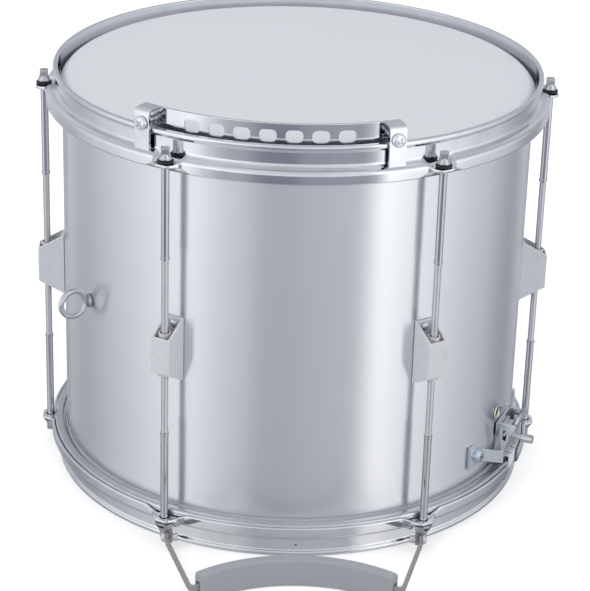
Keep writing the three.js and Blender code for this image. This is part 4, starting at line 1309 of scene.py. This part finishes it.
@dataclass
class SlingRail:
    """The slotted strip inside the batter hoop, its two tabs over the rim, and their screws."""

    copies: CopiesRoundAxis
    outer: float = 176.2
    sheet: float = 2.2
    low: float = 314.2
    high: float = 333.2
    slots: int = 7
    slot_length: float = 12.2
    slot_height: float = 9.0
    slot_level: float = 324.0
    slot_step: float = 5.918
    first_slot: float = -26.3
    slot_round: float = 4.2
    tabs: tuple[float, float] = (-37.0, 19.6)
    tab_width: float = 12.8
    leg_inner: float = 185.1
    leg_low: float = 303.2
    screw_level: float = 322.9
    screw_hole: float = 2.7

    def build(self, chrome: Finish, zinc: Finish) -> None:
        """Makes the rail and its screws."""
        inner, leg = self.outer - self.sheet, self.leg_inner
        outer, roof = leg + self.sheet, self.high - self.sheet
        half = math.degrees(self.tab_width / 2 / self.outer)
        azimuths = spread(self.tabs[0] - half, self.tabs[1] + half, 124)
        outline = rounded(block(inner, self.outer, self.low, self.high), 0.5, 3)
        strip = make("rail_strip", Draft().arc(outline, azimuths))
        length, height = self.slot_length / 2, self.slot_height / 2
        window = rounded(block(-length, length, -height, height), self.slot_round, 10)
        reaches = (inner - 4, self.outer + 4)
        rings = [[(x, -reach, self.slot_level + z) for x, z in window] for reach in reaches]
        cutter = make("slots", Draft().sweep(rings), on_axis=True)
        cutter = self.copies.apply(cutter, self.slots, self.first_slot, self.slot_step, None)
        combine(strip, [cutter], Boolean.CUT)
        bend = [
            (inner, roof), (leg, roof), (leg, self.leg_low),
            (outer, self.leg_low), (outer, self.high), (inner, self.high),
        ]
        tab = Draft().across(rounded(bend, [0, 2.0, 0.4, 0.4, 5.5, 0], 8), self.tab_width)
        tabs = [soften(make("tab", tab.moved(turn(azimuth))), 0.35, 2, 60.0) for azimuth in self.tabs]
        combine(strip, tabs, Boolean.JOIN)
        hole = peg(self.screw_hole, inner - 4, outer + 4, 32).moved(outward(self.screw_level))
        combine(strip, [make("hole", hole.moved(turn(azimuth))) for azimuth in self.tabs], Boolean.CUT)
        settle(polish(strip, 28.0), chrome, "drum", "rail_chrome", "sling_rail")
        tail, seat = inner - 6.0, outer + 0.3
        head = [
            (0.0, tail), (2.4, tail), (2.4, seat), (5.1, seat),
            (5.1, seat + 1.2), (3.9, seat + 2.4), (0.0, seat + 2.7),
        ]
        pan = CrossHead(head, [0, 0.4, 0, 0.3, 1.2, 1.6, 0], 48, seat + 1.1, seat + 5, 0.55, 5.6, 40.0)
        for side, azimuth in zip(("left", "right"), self.tabs):
            screw = pan.build(f"rail_screw_turned_{side}", azimuth, self.screw_level)
            settle(screw, zinc, "drum", "rail_screw", f"rail_screw_{side}")
            nut = refined(f"rail_nut_{side}", f"rail_nut_hex_{side}", 0.3)
            settle(polish(nut), zinc, "drum", "rail_screw", f"rail_nut_{side}")


# The throw-off


@dataclass
class Strainer:
    """The throw-off and the butt, with the snares between them."""

    sheet: float = 2.0
    width: float = 31.6
    low: float = 28.4
    top: float = 62.5
    foot_span: float = 18.4
    foot_width: float = 20.0
    foot_low: float = 38.8
    foot_height: float = 18.8
    arm_reach: float = 6.4
    arm_height: float = 10.6
    arm_rise: float = 11.4
    arm_lap: float = 2.0
    pivot_reach: float = 4.9
    pivot_level: float = 31.5
    screw_level: float = 46.0
    snare_level: float = 5.9
    jaw_level: float = 34.6
    jaw_face: float = 185.35
    clamp_half: float = 4.6
    butt_half: float = 4.35
    butt_level: float = 39.5
    screw_tail: float = 171.8
    knob_reach: float = 16.4
    knob_length: float = 9.2
    collar_reach: float = 10.3
    strands: int = 12
    strand_pitch: float = 3.1
    strand_length: float = 315.0
    strand_radius: float = 0.65

    def station(self) -> Matrix:
        """Turns a piece built at the front to the strainer."""
        return turn(SIZES.strainer_azimuth)

    def cheek(self, side: int) -> Piece:
        """One side wall with its slot, left for side -1 and right for 1."""
        back = SIZES.seat
        fold = back - 0.75
        outline = [
            (fold, self.low), (back + 7.4, self.low), (back + 7.4, 39.5), (back + 10.5, 50.3),
            (back + 15.7, 60.5), (back + 15.7, self.top), (back, self.top), (back, 52.5), (fold, 51.5),
        ]
        edge = rounded(outline, [0, 1.5, 2, 3, 1.2, 1.2, 0, 0, 0], 4)
        wing = make("cheek", Draft().across(edge, self.sheet))
        slot = Draft().across(rounded(block(back + 5.7, back + 8.5, 48.0, 57.0), 1.35, 6), self.sheet * 3)
        combine(wing, [make("slot", slot)], Boolean.CUT)
        wing.data.transform(Matrix.Translation((side * (self.width - self.sheet) / 2 * MM, 0, 0)))
        soften(wing, 0.3, 2, 50.0)
        for step in (Matrix.Translation((0, -AXIS_Y, 0)), self.station(), Matrix.Translation((0, AXIS_Y, 0))):
            wing.data.transform(step)
        return wing

    def foot(self, side: int) -> Draft:
        """A foot along the shell, which narrows away from its arm."""
        back, low = SIZES.seat, self.foot_low
        span = math.degrees(self.foot_width / SIZES.shell_radius)
        rings = []
        for share in spread(0.0, 1.0, 20):
            cut = max(0.0, share - 0.3) * 9.0
            section = block(back, back + self.sheet, low + 0.4 * cut, low + self.foot_height - cut)
            azimuth = side * (self.foot_span - share * span)
            rings.append([polar(r, azimuth, z) for r, z in rounded(section, 0.35, 2)])
        return Draft().sweep(rings)

    def arm(self, side: int) -> Draft:
        """The flat arm from a foot on the shell down to a cheek, left for side -1 and right for 1."""
        middle = SIZES.seat + self.sheet / 2
        angle = math.radians(self.foot_span) - (self.foot_width - self.arm_lap) / middle
        reach, level = SIZES.seat + self.arm_reach, self.low + self.arm_height / 2
        cheek = Vector((side * (self.width - self.sheet) / 2, -reach, level))
        foot = Vector((side * middle * math.sin(angle), -middle * math.cos(angle), cheek.z + self.arm_rise))
        along = (foot - cheek).to_2d().normalized()
        half, height = self.sheet / 2, self.arm_height / 2
        section = rounded(block(-half, half, -height, height), 0.4, 2)
        ends = [[(p.x - along.y * u, p.y + along.x * u, p.z + v) for u, v in section] for p in (cheek, foot)]
        return Draft().sweep(ends)

    def base(self, zinc: Finish) -> None:
        """Makes the bracket: back plate, cheeks, arms, feet and pivot stubs."""
        back = SIZES.seat
        section = rounded(block(back, back + self.sheet, self.low, self.top), 0.3, 2)
        plate = make("strainer_bracket", Draft().across(section, self.width).moved(self.station()))
        sides = (-1, 1)
        parts = [self.cheek(side) for side in sides]
        parts += [make("arm", self.arm(side).moved(self.station())) for side in sides]
        for side in sides:
            parts.append(make("foot", self.foot(side).moved(self.station())))
            stub = Draft().lathe(rounded(block(0.0, 1.3, 9.6, 17.0), [0, 0.3, 0.3, 0], 3), 24)
            pivot = Matrix.Translation((0, -(back + self.pivot_reach), self.pivot_level))
            place = pivot @ Matrix.Rotation(side * math.pi / 2, 4, "Y")
            parts.append(make("stub", stub.moved(self.station() @ place)))
        combine(plate, parts, Boolean.JOIN)
        settle(polish(plate), zinc, "drum", "strainer_zinc", "strainer_base")

    def screws(self, zinc: Finish) -> None:
        """Makes the domed, cross-headed screws of both feet and of the butt."""
        face, tail, front = SIZES.seat + self.sheet, self.screw_tail, SIZES.strainer_azimuth
        centre = self.foot_span - math.degrees(self.foot_width / SIZES.shell_radius) / 2
        level = self.foot_low + self.foot_height / 2
        for name, azimuth, height, radius, dome in (
            ("left", front - centre, level, 5.5, 4.0),
            ("right", front + centre, level, 4.2, 1.6),
            ("butt_left", front + 180 - self.butt_half, self.butt_level, 2.6, 2.0),
            ("butt_right", front + 180 + self.butt_half, self.butt_level, 2.6, 2.0),
        ):
            edge = radius + 0.05
            outline = [
                (0.0, tail), (2.3, tail), (2.3, face - 1), (edge, face - 1),
                (edge, face + dome * 0.45), (radius * 0.7, face + dome), (0.0, face + dome + 0.15),
            ]
            radii = [0, 0, 0, 0.2, 0.9, 1.2, 0]
            domed = CrossHead(outline, radii, 40, face + dome * 0.4, face + 5, 0.45, radius * 1.15, 25.0)
            settle(domed.build(f"strainer_screw_{name}", azimuth, height), zinc, "drum", "strainer_zinc")

    def moving(self, chrome: Finish, steel: Finish, zinc: Finish) -> None:
        """Makes the lever, the carriage and its clamp screws."""
        lever = refined("strainer_lever", "strainer_lever_bent", 0.35, 3)
        settle(polish(lever), chrome, "lever", "lever_chrome", "strainer_lever")
        carriage = refined("strainer_carriage", "strainer_carriage_milled", 0.3, 2)
        settle(polish(carriage), steel, "snare_set", "carriage_steel", "strainer_carriage")
        pins, face = Draft(), self.jaw_face
        rise = [(0.0, face), (1.7, face), (1.7, 188.0), (0.9, 188.6), (0.0, 188.7)]
        head = Draft().lathe(rounded(rise, [0, 0.1, 0.5, 0.4, 0], 3), 20)
        for across in (-self.clamp_half, self.clamp_half):
            pins.add(head.moved(self.station() @ outward(self.jaw_level, across)))
        settle(polish(make("strainer_clamp_screws", pins)), zinc, "snare_set", "carriage_steel")

    def thumb_screw(self, zinc: Finish) -> None:
        """Makes the thumb screw, with a collar and a plain round knob."""
        back = SIZES.seat
        knob, collar = back + self.knob_reach, back + self.collar_reach
        end = knob + self.knob_length
        outline = [
            (0.0, back + 5.8), (2.0, back + 5.8), (2.0, collar), (3.2, collar), (3.2, collar + 1.2),
            (2.0, collar + 1.2), (2.0, knob), (3.3, knob), (3.3, end), (0.0, end),
        ]
        points = rounded(outline, [0, 0.4, 0, 0.3, 0.3, 0, 0, 0.5, 0.7, 0], 3)
        place = self.station() @ outward(self.screw_level)
        screw = make("thumb_screw_knurled", Draft().lathe(points, 96).moved(place))
        settle(polish(screw), zinc, "thumb_screw", "thumb_screw_zinc", "strainer_thumb_screw")

    def butt(self, zinc: Finish) -> None:
        """Makes the butt plate opposite the strainer."""
        plate = refined("snare_butt", "snare_butt_plate", 0.3, 2)
        settle(polish(plate), zinc, "drum", "strainer_zinc", "snare_butt")

    def snares(self, strands: Strands, strap: Finish, wire: Finish) -> None:
        """Makes the strands, and their end plates and straps."""
        rows = link_piece("snare_strand_rows", bpy.data.meshes.new("snare_strand_rows"))
        strands.apply(rows, self.strands, self.strand_pitch, self.strand_length, self.strand_radius, wire)
        first = -self.strand_pitch * (self.strands - 1) / 2
        start = Matrix.Translation((first * MM, 0, self.snare_level * MM))
        rows.data.transform(Matrix.Translation((0, AXIS_Y, 0)) @ self.station() @ start)
        settle(polish(rows), wire, "snare_set", "snare_strand")
        band = refined("snares", "snare_straps", 0.12, 1)
        settle(polish(band), strap, "snare_set", "snare_strand", "snares")


# The leg rest


@dataclass
class LegRest:
    """The folding bar, its pad and its brackets."""

    arc_y: float = -334.6
    arc_radius: float = 113.1
    half_angle: float = 38.0
    end_angle: float = 1.4
    end_inset: float = 1.0
    pad_height: float = 21.5
    pad_depth: float = 9.0
    bar_depth: float = 2.6
    bar_height: float = 4.6
    hinge: tuple[float, float, float] = (93.3, -176.0, 10.75)
    straight: float = 7.0
    bend: float = 6.6
    eye: float = 4.5
    eye_bore: float = 2.2
    gap: float = 0.3
    bracket_sheet: float = 2.2

    def arc_point(self, angle: float, radius: float) -> Vector:
        """A point of an arc round the pad's centre, in plan."""
        turned = math.radians(angle)
        return Vector((radius * math.sin(turned), self.arc_y + radius * math.cos(turned)))

    def path(self) -> list[Vector]:
        """The bar's middle line in plan, from the right eye to the left."""
        end, radius = self.half_angle, self.arc_radius
        last = self.arc_point(end, radius)
        corner = last + Vector((math.cos(math.radians(end)), -math.sin(math.radians(end)))) * self.bend
        hinge = Vector(self.hinge[:2])
        straight = hinge + Vector((0.0, -self.straight))
        before = corner + (straight - corner).normalized() * self.bend
        side = [hinge, straight]
        for t in spread(0.0, 1.0, 12):
            side.append(before * (1 - t) ** 2 + corner * (2 * t * (1 - t)) + last * t**2)
        middle = [self.arc_point(a, radius) for a in spread(end, -end, 60)[1:-1]]
        return [*side, *middle, *(Vector((-p.x, p.y)) for p in reversed(side))]

    def bar(self, paint: Finish) -> None:
        """Makes the bent flat bar with its two eyes."""
        path, level = self.path(), self.hinge[2]
        half, height = self.bar_depth / 2, self.bar_height / 2
        section = rounded(block(-half, half, -height, height), 0.7, 4)
        rings = []
        for i, here in enumerate(path):
            before, after = path[max(i - 1, 0)], path[min(i + 1, len(path) - 1)]
            along = (after - before).normalized()
            normal = Vector((-along.y, along.x))
            rings.append([(here.x + normal.x * u, here.y + normal.y * u, level + v) for u, v in section])
        bar = make("leg_bar", Draft().sweep(rings))
        disc = Draft().lathe(rounded(block(0.0, self.eye, -half, half), [0, 0.5, 0.5, 0], 3), 40)
        bore = peg(self.eye_bore, -6, 6, 32)
        eyes, bores = [], []
        for side in (-1, 1):
            at_hinge = Matrix.Translation((side * self.hinge[0], self.hinge[1], level))
            place = at_hinge @ Matrix.Rotation(math.pi / 2, 4, "Y")
            eyes.append(make("eye", disc.moved(place)))
            bores.append(make("bore", bore.moved(place)))
        combine(bar, eyes, Boolean.JOIN)
        combine(bar, bores, Boolean.CUT)
        settle(polish(bar), paint, "leg_rest", "leg_bar_grey", "leg_rest_bar")

    def pad(self, skin: Finish) -> None:
        """Makes the curved foam pad: slightly crowned, with rounded ends and the bar's slot."""
        half, height, full = self.pad_depth / 2, self.pad_height, self.half_angle
        corners = [
            (-half + 0.2, 0.0), (half - 0.2, 0.0), (half, height * 0.5),
            (half - 0.1, height), (-half + 0.1, height), (-half, height * 0.5),
        ]
        section = rounded(corners, [1.6, 1.6, 18.0, 1.9, 1.9, 18.0], 8)
        inside = full - self.end_angle
        rings = []
        ends = spread(-full, -inside, 8), spread(inside, full, 8)
        for angle in [*ends[0], *spread(-inside, inside, 96)[1:-1], *ends[1]]:
            near = max(0.0, (abs(angle) - inside) / self.end_angle)
            inset = self.end_inset * (1 - math.sqrt(max(0.0, 1 - near * near)))
            ring = []
            for u, v in section:
                point = self.arc_point(angle, self.arc_radius + u * (1 - inset / half))
                raised = height / 2 + (v - height / 2) * (1 - inset / (height / 2))
                ring.append((point.x, point.y, raised if v > 1.0 else v + inset * 0.25))
            rings.append(ring)
        pad = make("leg_pad", Draft().sweep(rings))
        slot = rounded(block(-2.1, 2.1, 6.25, 15.25), 1.2, 4)
        angles = spread(-full - 3, full + 3, 60)
        cutter = [[(*self.arc_point(a, self.arc_radius + u), v) for u, v in slot] for a in angles]
        combine(pad, [make("slot", Draft().sweep(cutter))], Boolean.CUT)
        settle(polish(pad, 45.0), skin, "leg_rest", "leg_pad", "leg_rest_pad")
        pad.visible_glossy = False

    def brackets(self, steel: Finish, cream: Finish) -> None:
        """Makes the two brackets and, over their CAD bolts, round bolt heads and nuts."""
        x, y, z = self.hinge
        outer = x + self.bar_depth / 2 + self.gap
        inner = x - self.bar_depth / 2 - self.gap - self.bracket_sheet
        head = [(0.0, outer), (3.9, outer), (3.9, outer + 1.6), (2.4, outer + 3.0), (0.0, outer + 3.2)]
        nut = [(0.0, inner - 4.1), (2.9, inner - 4.1), (2.9, inner), (0.0, inner)]
        turned = (
            ("leg_bolt_head", rounded(head, [0, 0.2, 1.2, 0.9, 0], 4)),
            ("leg_nut", rounded(nut, [0, 0.6, 0.2, 0], 4)),
        )
        for side, sign in (("left", -1), ("right", 1)):
            plate = refined(f"leg_rest_bracket_{side}", f"leg_bracket_plate_{side}", 0.3, 2)
            settle(polish(plate), steel, "drum", "leg_bracket", f"leg_rest_bracket_{side}")
            place = Matrix.Translation((0, y, z)) @ Matrix.Rotation(sign * math.pi / 2, 4, "Y")
            for name, outline in turned:
                fastener = make(f"{name}_{side}", Draft().lathe(outline, 36).moved(place))
                settle(polish(fastener), cream, "drum", "leg_bracket")


# The studio


@dataclass
class Studio:
    """Camera, floor, world and lamps."""

    eye: tuple[float, float, float] = (-58.5, -1567.3, 823.2)
    spin: tuple[float, float, float] = (1.9886, -0.009, 0.0443)
    lens: float = 132.66
    sensor: float = 36.0
    shift: float = 0.0017
    floor_half: float = 12.0
    floor_level: float = -0.0005
    bands: tuple[tuple[float, float], ...] = (
        (-180.0, 0.34), (-164.0, 0.42), (-150.0, 0.52), (-134.0, 0.44), (-122.0, 0.44), (-108.0, 0.56),
        (-88.0, 0.70), (-70.0, 0.855), (-50.0, 0.95), (-38.0, 0.865), (-26.0, 0.76), (-17.0, 0.61),
        (4.0, 0.605), (22.0, 0.655), (29.0, 0.64), (36.0, 1.10), (42.0, 1.15), (52.0, 0.99), (74.0, 0.80),
        (90.0, 0.64), (106.0, 0.55), (122.0, 0.36), (132.0, 0.315), (148.0, 0.48), (162.0, 0.40),
    )
    lamp_list: tuple[tuple[str, tuple[float, float, float], float, float], ...] = (
        ("key", (-1.3, -1.5, 2.2), 1.3, 16.0),
        ("fill", (1.7, -1.2, 1.6), 1.4, 8.0),
        ("top", (0.0, 0.4, 2.6), 1.8, 14.0),
    )

    def camera(self) -> None:
        """Places the camera where the photograph was taken."""
        data = bpy.data.cameras.new("camera")
        data.sensor_fit = "HORIZONTAL"
        data.sensor_width = self.sensor
        data.lens = self.lens
        data.clip_end = 50.0
        data.shift_y = self.shift
        spin = Vector(self.spin)
        right, down, ahead = Matrix.Rotation(spin.length, 3, spin.normalized())
        turned = Matrix((right, -down, -ahead)).transposed()
        x, y, z = self.eye
        cam = bpy.data.objects.new("camera", data)
        cam.matrix_world = Matrix.Translation((x * MM, y * MM + AXIS_Y, z * MM)) @ turned.to_4x4()
        bpy.context.scene.collection.objects.link(cam)
        bpy.context.scene.camera = cam

    def tinted(self, level: float) -> tuple[float, float, float]:
        """A panel's colour: the darker it is, the bluer."""
        dark = 1 - 2 * level
        return (level * (1 - 0.05 * dark), level, level * (1 + 0.10 * dark))

    def world(self) -> None:
        """Builds a world that is white to the camera and a ring of soft panels in metal."""
        world = bpy.data.worlds.new("studio")
        bpy.context.scene.world = world
        world.use_nodes = True
        shader = Shader(world.node_tree)
        x, y, z = shader.parts(shader.node("ShaderNodeTexCoord").outputs["Generated"])
        around = x.atan2(y * -1.0) / ONE_TURN + 0.5
        stops = [((azimuth + 180) / 360, self.tinted(value / 2)) for azimuth, value in self.bands]
        ramp = shader.node("ShaderNodeValToRGB", {"stops": stops}, {0: around}).outputs[0]
        lifted = z.eased(-0.62, -0.20, 1.36, 2.80)
        wide = around.eased(0.344, 0.411) * around.eased(0.594, 0.614, 1.0, 0.0) * 0.5
        deep = around.eased(0.422, 0.461) * around.eased(0.489, 0.511, 1.0, 0.0) * 0.14
        gap = (wide + deep) * z.eased(-0.46, -0.41) * z.eased(-0.27, -0.21, 1.0, 0.0)
        ring = shader.mix(gap, shader.vector("SCALE", {0: ramp, "Scale": lifted}), (0.0, 0.0, 0.07, 1.0))
        roof = shader.vector("MULTIPLY_ADD", {0: ramp, 1: (1.2, 1.2, 1.2), 2: (0.36, 0.36, 0.36)})
        panels = shader.mix(z.eased(0.3, 0.8), ring, roof)
        path = shader.node("ShaderNodeLightPath")
        lit = shader.mix(shader.term(path, "Is Glossy Ray"), (0.62, 0.62, 0.62, 1.0), panels)
        colour = shader.mix(shader.term(path, "Is Camera Ray"), lit, (1.0, 1.0, 1.0, 1.0))
        back = shader.node("ShaderNodeBackground", {}, {"Color": colour})
        shader.node("ShaderNodeOutputWorld", {}, {"Surface": back.outputs[0]})

    def floor(self) -> None:
        """Makes the pale floor, which metal doesn't see."""
        mesh = bpy.data.meshes.new("floor")
        size, level = self.floor_half, self.floor_level
        corners = [(-size, -size, level), (size, -size, level), (size, size, level), (-size, size, level)]
        mesh.from_pydata(corners, [], [(0, 1, 2, 3)])
        obj = link_piece("floor", mesh)
        material, shader = new_material("floor_paper")
        camera = shader.term(shader.node("ShaderNodeLightPath"), "Is Camera Ray")
        paper = shader.node("ShaderNodeBsdfDiffuse", {}, {"Color": (0.82, 0.82, 0.82, 1.0)})
        light = {"Color": (1.0, 1.0, 1.0, 1.0), "Strength": camera * 0.42}
        glow = shader.node("ShaderNodeEmission", {}, light)
        both = shader.node("ShaderNodeAddShader", {}, {0: paper.outputs[0], 1: glow.outputs[0]})
        shader.node("ShaderNodeOutputMaterial", {}, {"Surface": both.outputs[0]})
        mesh.materials.append(material)
        obj.visible_glossy = False

    def lamps(self) -> None:
        """Hangs the soft lamps."""
        for name, spot, size, power in self.lamp_list:
            data = bpy.data.lights.new(name, "AREA")
            data.shape = "SQUARE"
            data.size = size
            data.energy = power
            lamp = bpy.data.objects.new(name, data)
            lamp.location = spot
            aim = Vector((0.0, AXIS_Y, 0.15)) - Vector(spot)
            lamp.rotation_euler = aim.to_track_quat("-Z", "Y").to_euler()
            lamp.visible_glossy = False
            lamp.visible_camera = False
            bpy.context.scene.collection.objects.link(lamp)

    def build(self) -> None:
        """Sets up the whole studio."""
        bpy.context.scene.view_settings.view_transform = "Standard"
        self.camera()
        self.world()
        self.floor()
        self.lamps()


def main() -> None:
    """Builds the studio and every piece of the drum."""
    logging.basicConfig(level=logging.INFO, format="%(name)s: %(message)s")
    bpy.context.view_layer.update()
    Studio().build()
    copies, strands = CopiesRoundAxis(), Strands()
    chrome = Plated("hoop_chrome_plate").build()
    rail_chrome = Plated("rail_chrome_plate", roughness=0.05, ripple=0.004).build()
    zinc = Plated("rod_zinc_plate", level=200, roughness=0.1, smudge=0.06, grain=0.06).build()
    blue_zinc = Plated(
        "strainer_zinc_plate", level=222, warmth=-0.02, roughness=0.13, smudge=0.1, ripple=0.02,
        grain=0.05, metallic=0.85,
    ).build()
    bright_zinc = Plated(
        "foot_screw_zinc", level=212, warmth=-0.10, roughness=0.12, smudge=0.1, ripple=0.12,
        ripple_scale=700.0, metallic=0.9,
    ).build()
    steel = Plated("carriage_steel", level=224, warmth=-0.01, roughness=0.28, grain=0.2, metallic=0.6).build()
    eye_steel = Plated("eye_plate", level=204, roughness=0.12).build()
    grey_steel = Plated("bracket_steel", level=176, roughness=0.32, grain=0.2).build()
    brass = Plated(
        "vent_brass", level=222, warmth=0.03, yellow=0.15, roughness=0.26, smudge=0.15, grain=0.1
    ).build()
    cream = Plated("nut_plate", level=214, warmth=0.06, roughness=0.35, grain=0.2, metallic=0.5).build()
    ring_metal = Plated("flesh_hoop_aluminium", level=205, roughness=0.22, grain=0.1).build()
    lug_paint = Painted("lug_paint", 219, roughness=0.34).build()
    bar_paint = Painted("leg_bar_paint", 150, warmth=-0.005, roughness=0.4).build()
    screw_plate = Plated(
        "screw_plate", level=232, warmth=-0.02, roughness=0.16, grain=0.05, metallic=0.75
    ).build()
    # painted shade: the felts' dark colour stands in for the shade inside the lug pockets
    shade_felt = Moulded("lug_shade_felt", 70, warmth=0.0, roughness=0.9, grain=0.05).build()
    black = Moulded("washer_nylon", 22, warmth=0.0, roughness=0.42, grain=0.01).build()
    foam = Moulded(
        "leg_pad_foam", 168, warmth=-0.04, roughness=0.72, grain=0.05, grain_scale=1500.0, sheen=0.15
    ).build()
    strap = Moulded("snare_strap", 240, roughness=0.55, grain=0.02).build()
    strand = Plated("snare_strand_wire", level=214, roughness=0.3, grain=0.2).build()
    films = {
        End.BATTER: Film("batter_coating", 213, 0.03, 0.62).build(),
        End.SNARE: Film("snare_film_clear", 226, 0.004, 0.3).build(),
    }

    shell = Shell()
    shell.build(BrushedShell().build())
    shell.eyelet(brass)
    for end in End:
        hoop = Counterhoop(end)
        hoop.hoop(chrome)
        hoop.head(films[end], ring_metal)
        TensionRods(end).build(zinc, black)
    lugs = Lugs(copies)
    lugs.castings(lug_paint)
    lugs.nuts(cream)
    lugs.filling(shade_felt, screw_plate)
    EyeBolt().build(eye_steel, grey_steel)
    SlingRail(copies).build(rail_chrome, screw_plate)
    strainer = Strainer()
    strainer.base(blue_zinc)
    strainer.screws(bright_zinc)
    strainer.moving(chrome, steel, zinc)
    strainer.thumb_screw(zinc)
    strainer.butt(blue_zinc)
    strainer.snares(strands, strap, strand)
    rest = LegRest()
    rest.bar(bar_paint)
    rest.pad(foam)
    rest.brackets(grey_steel, cream)


if __name__ == "__main__":
    main()
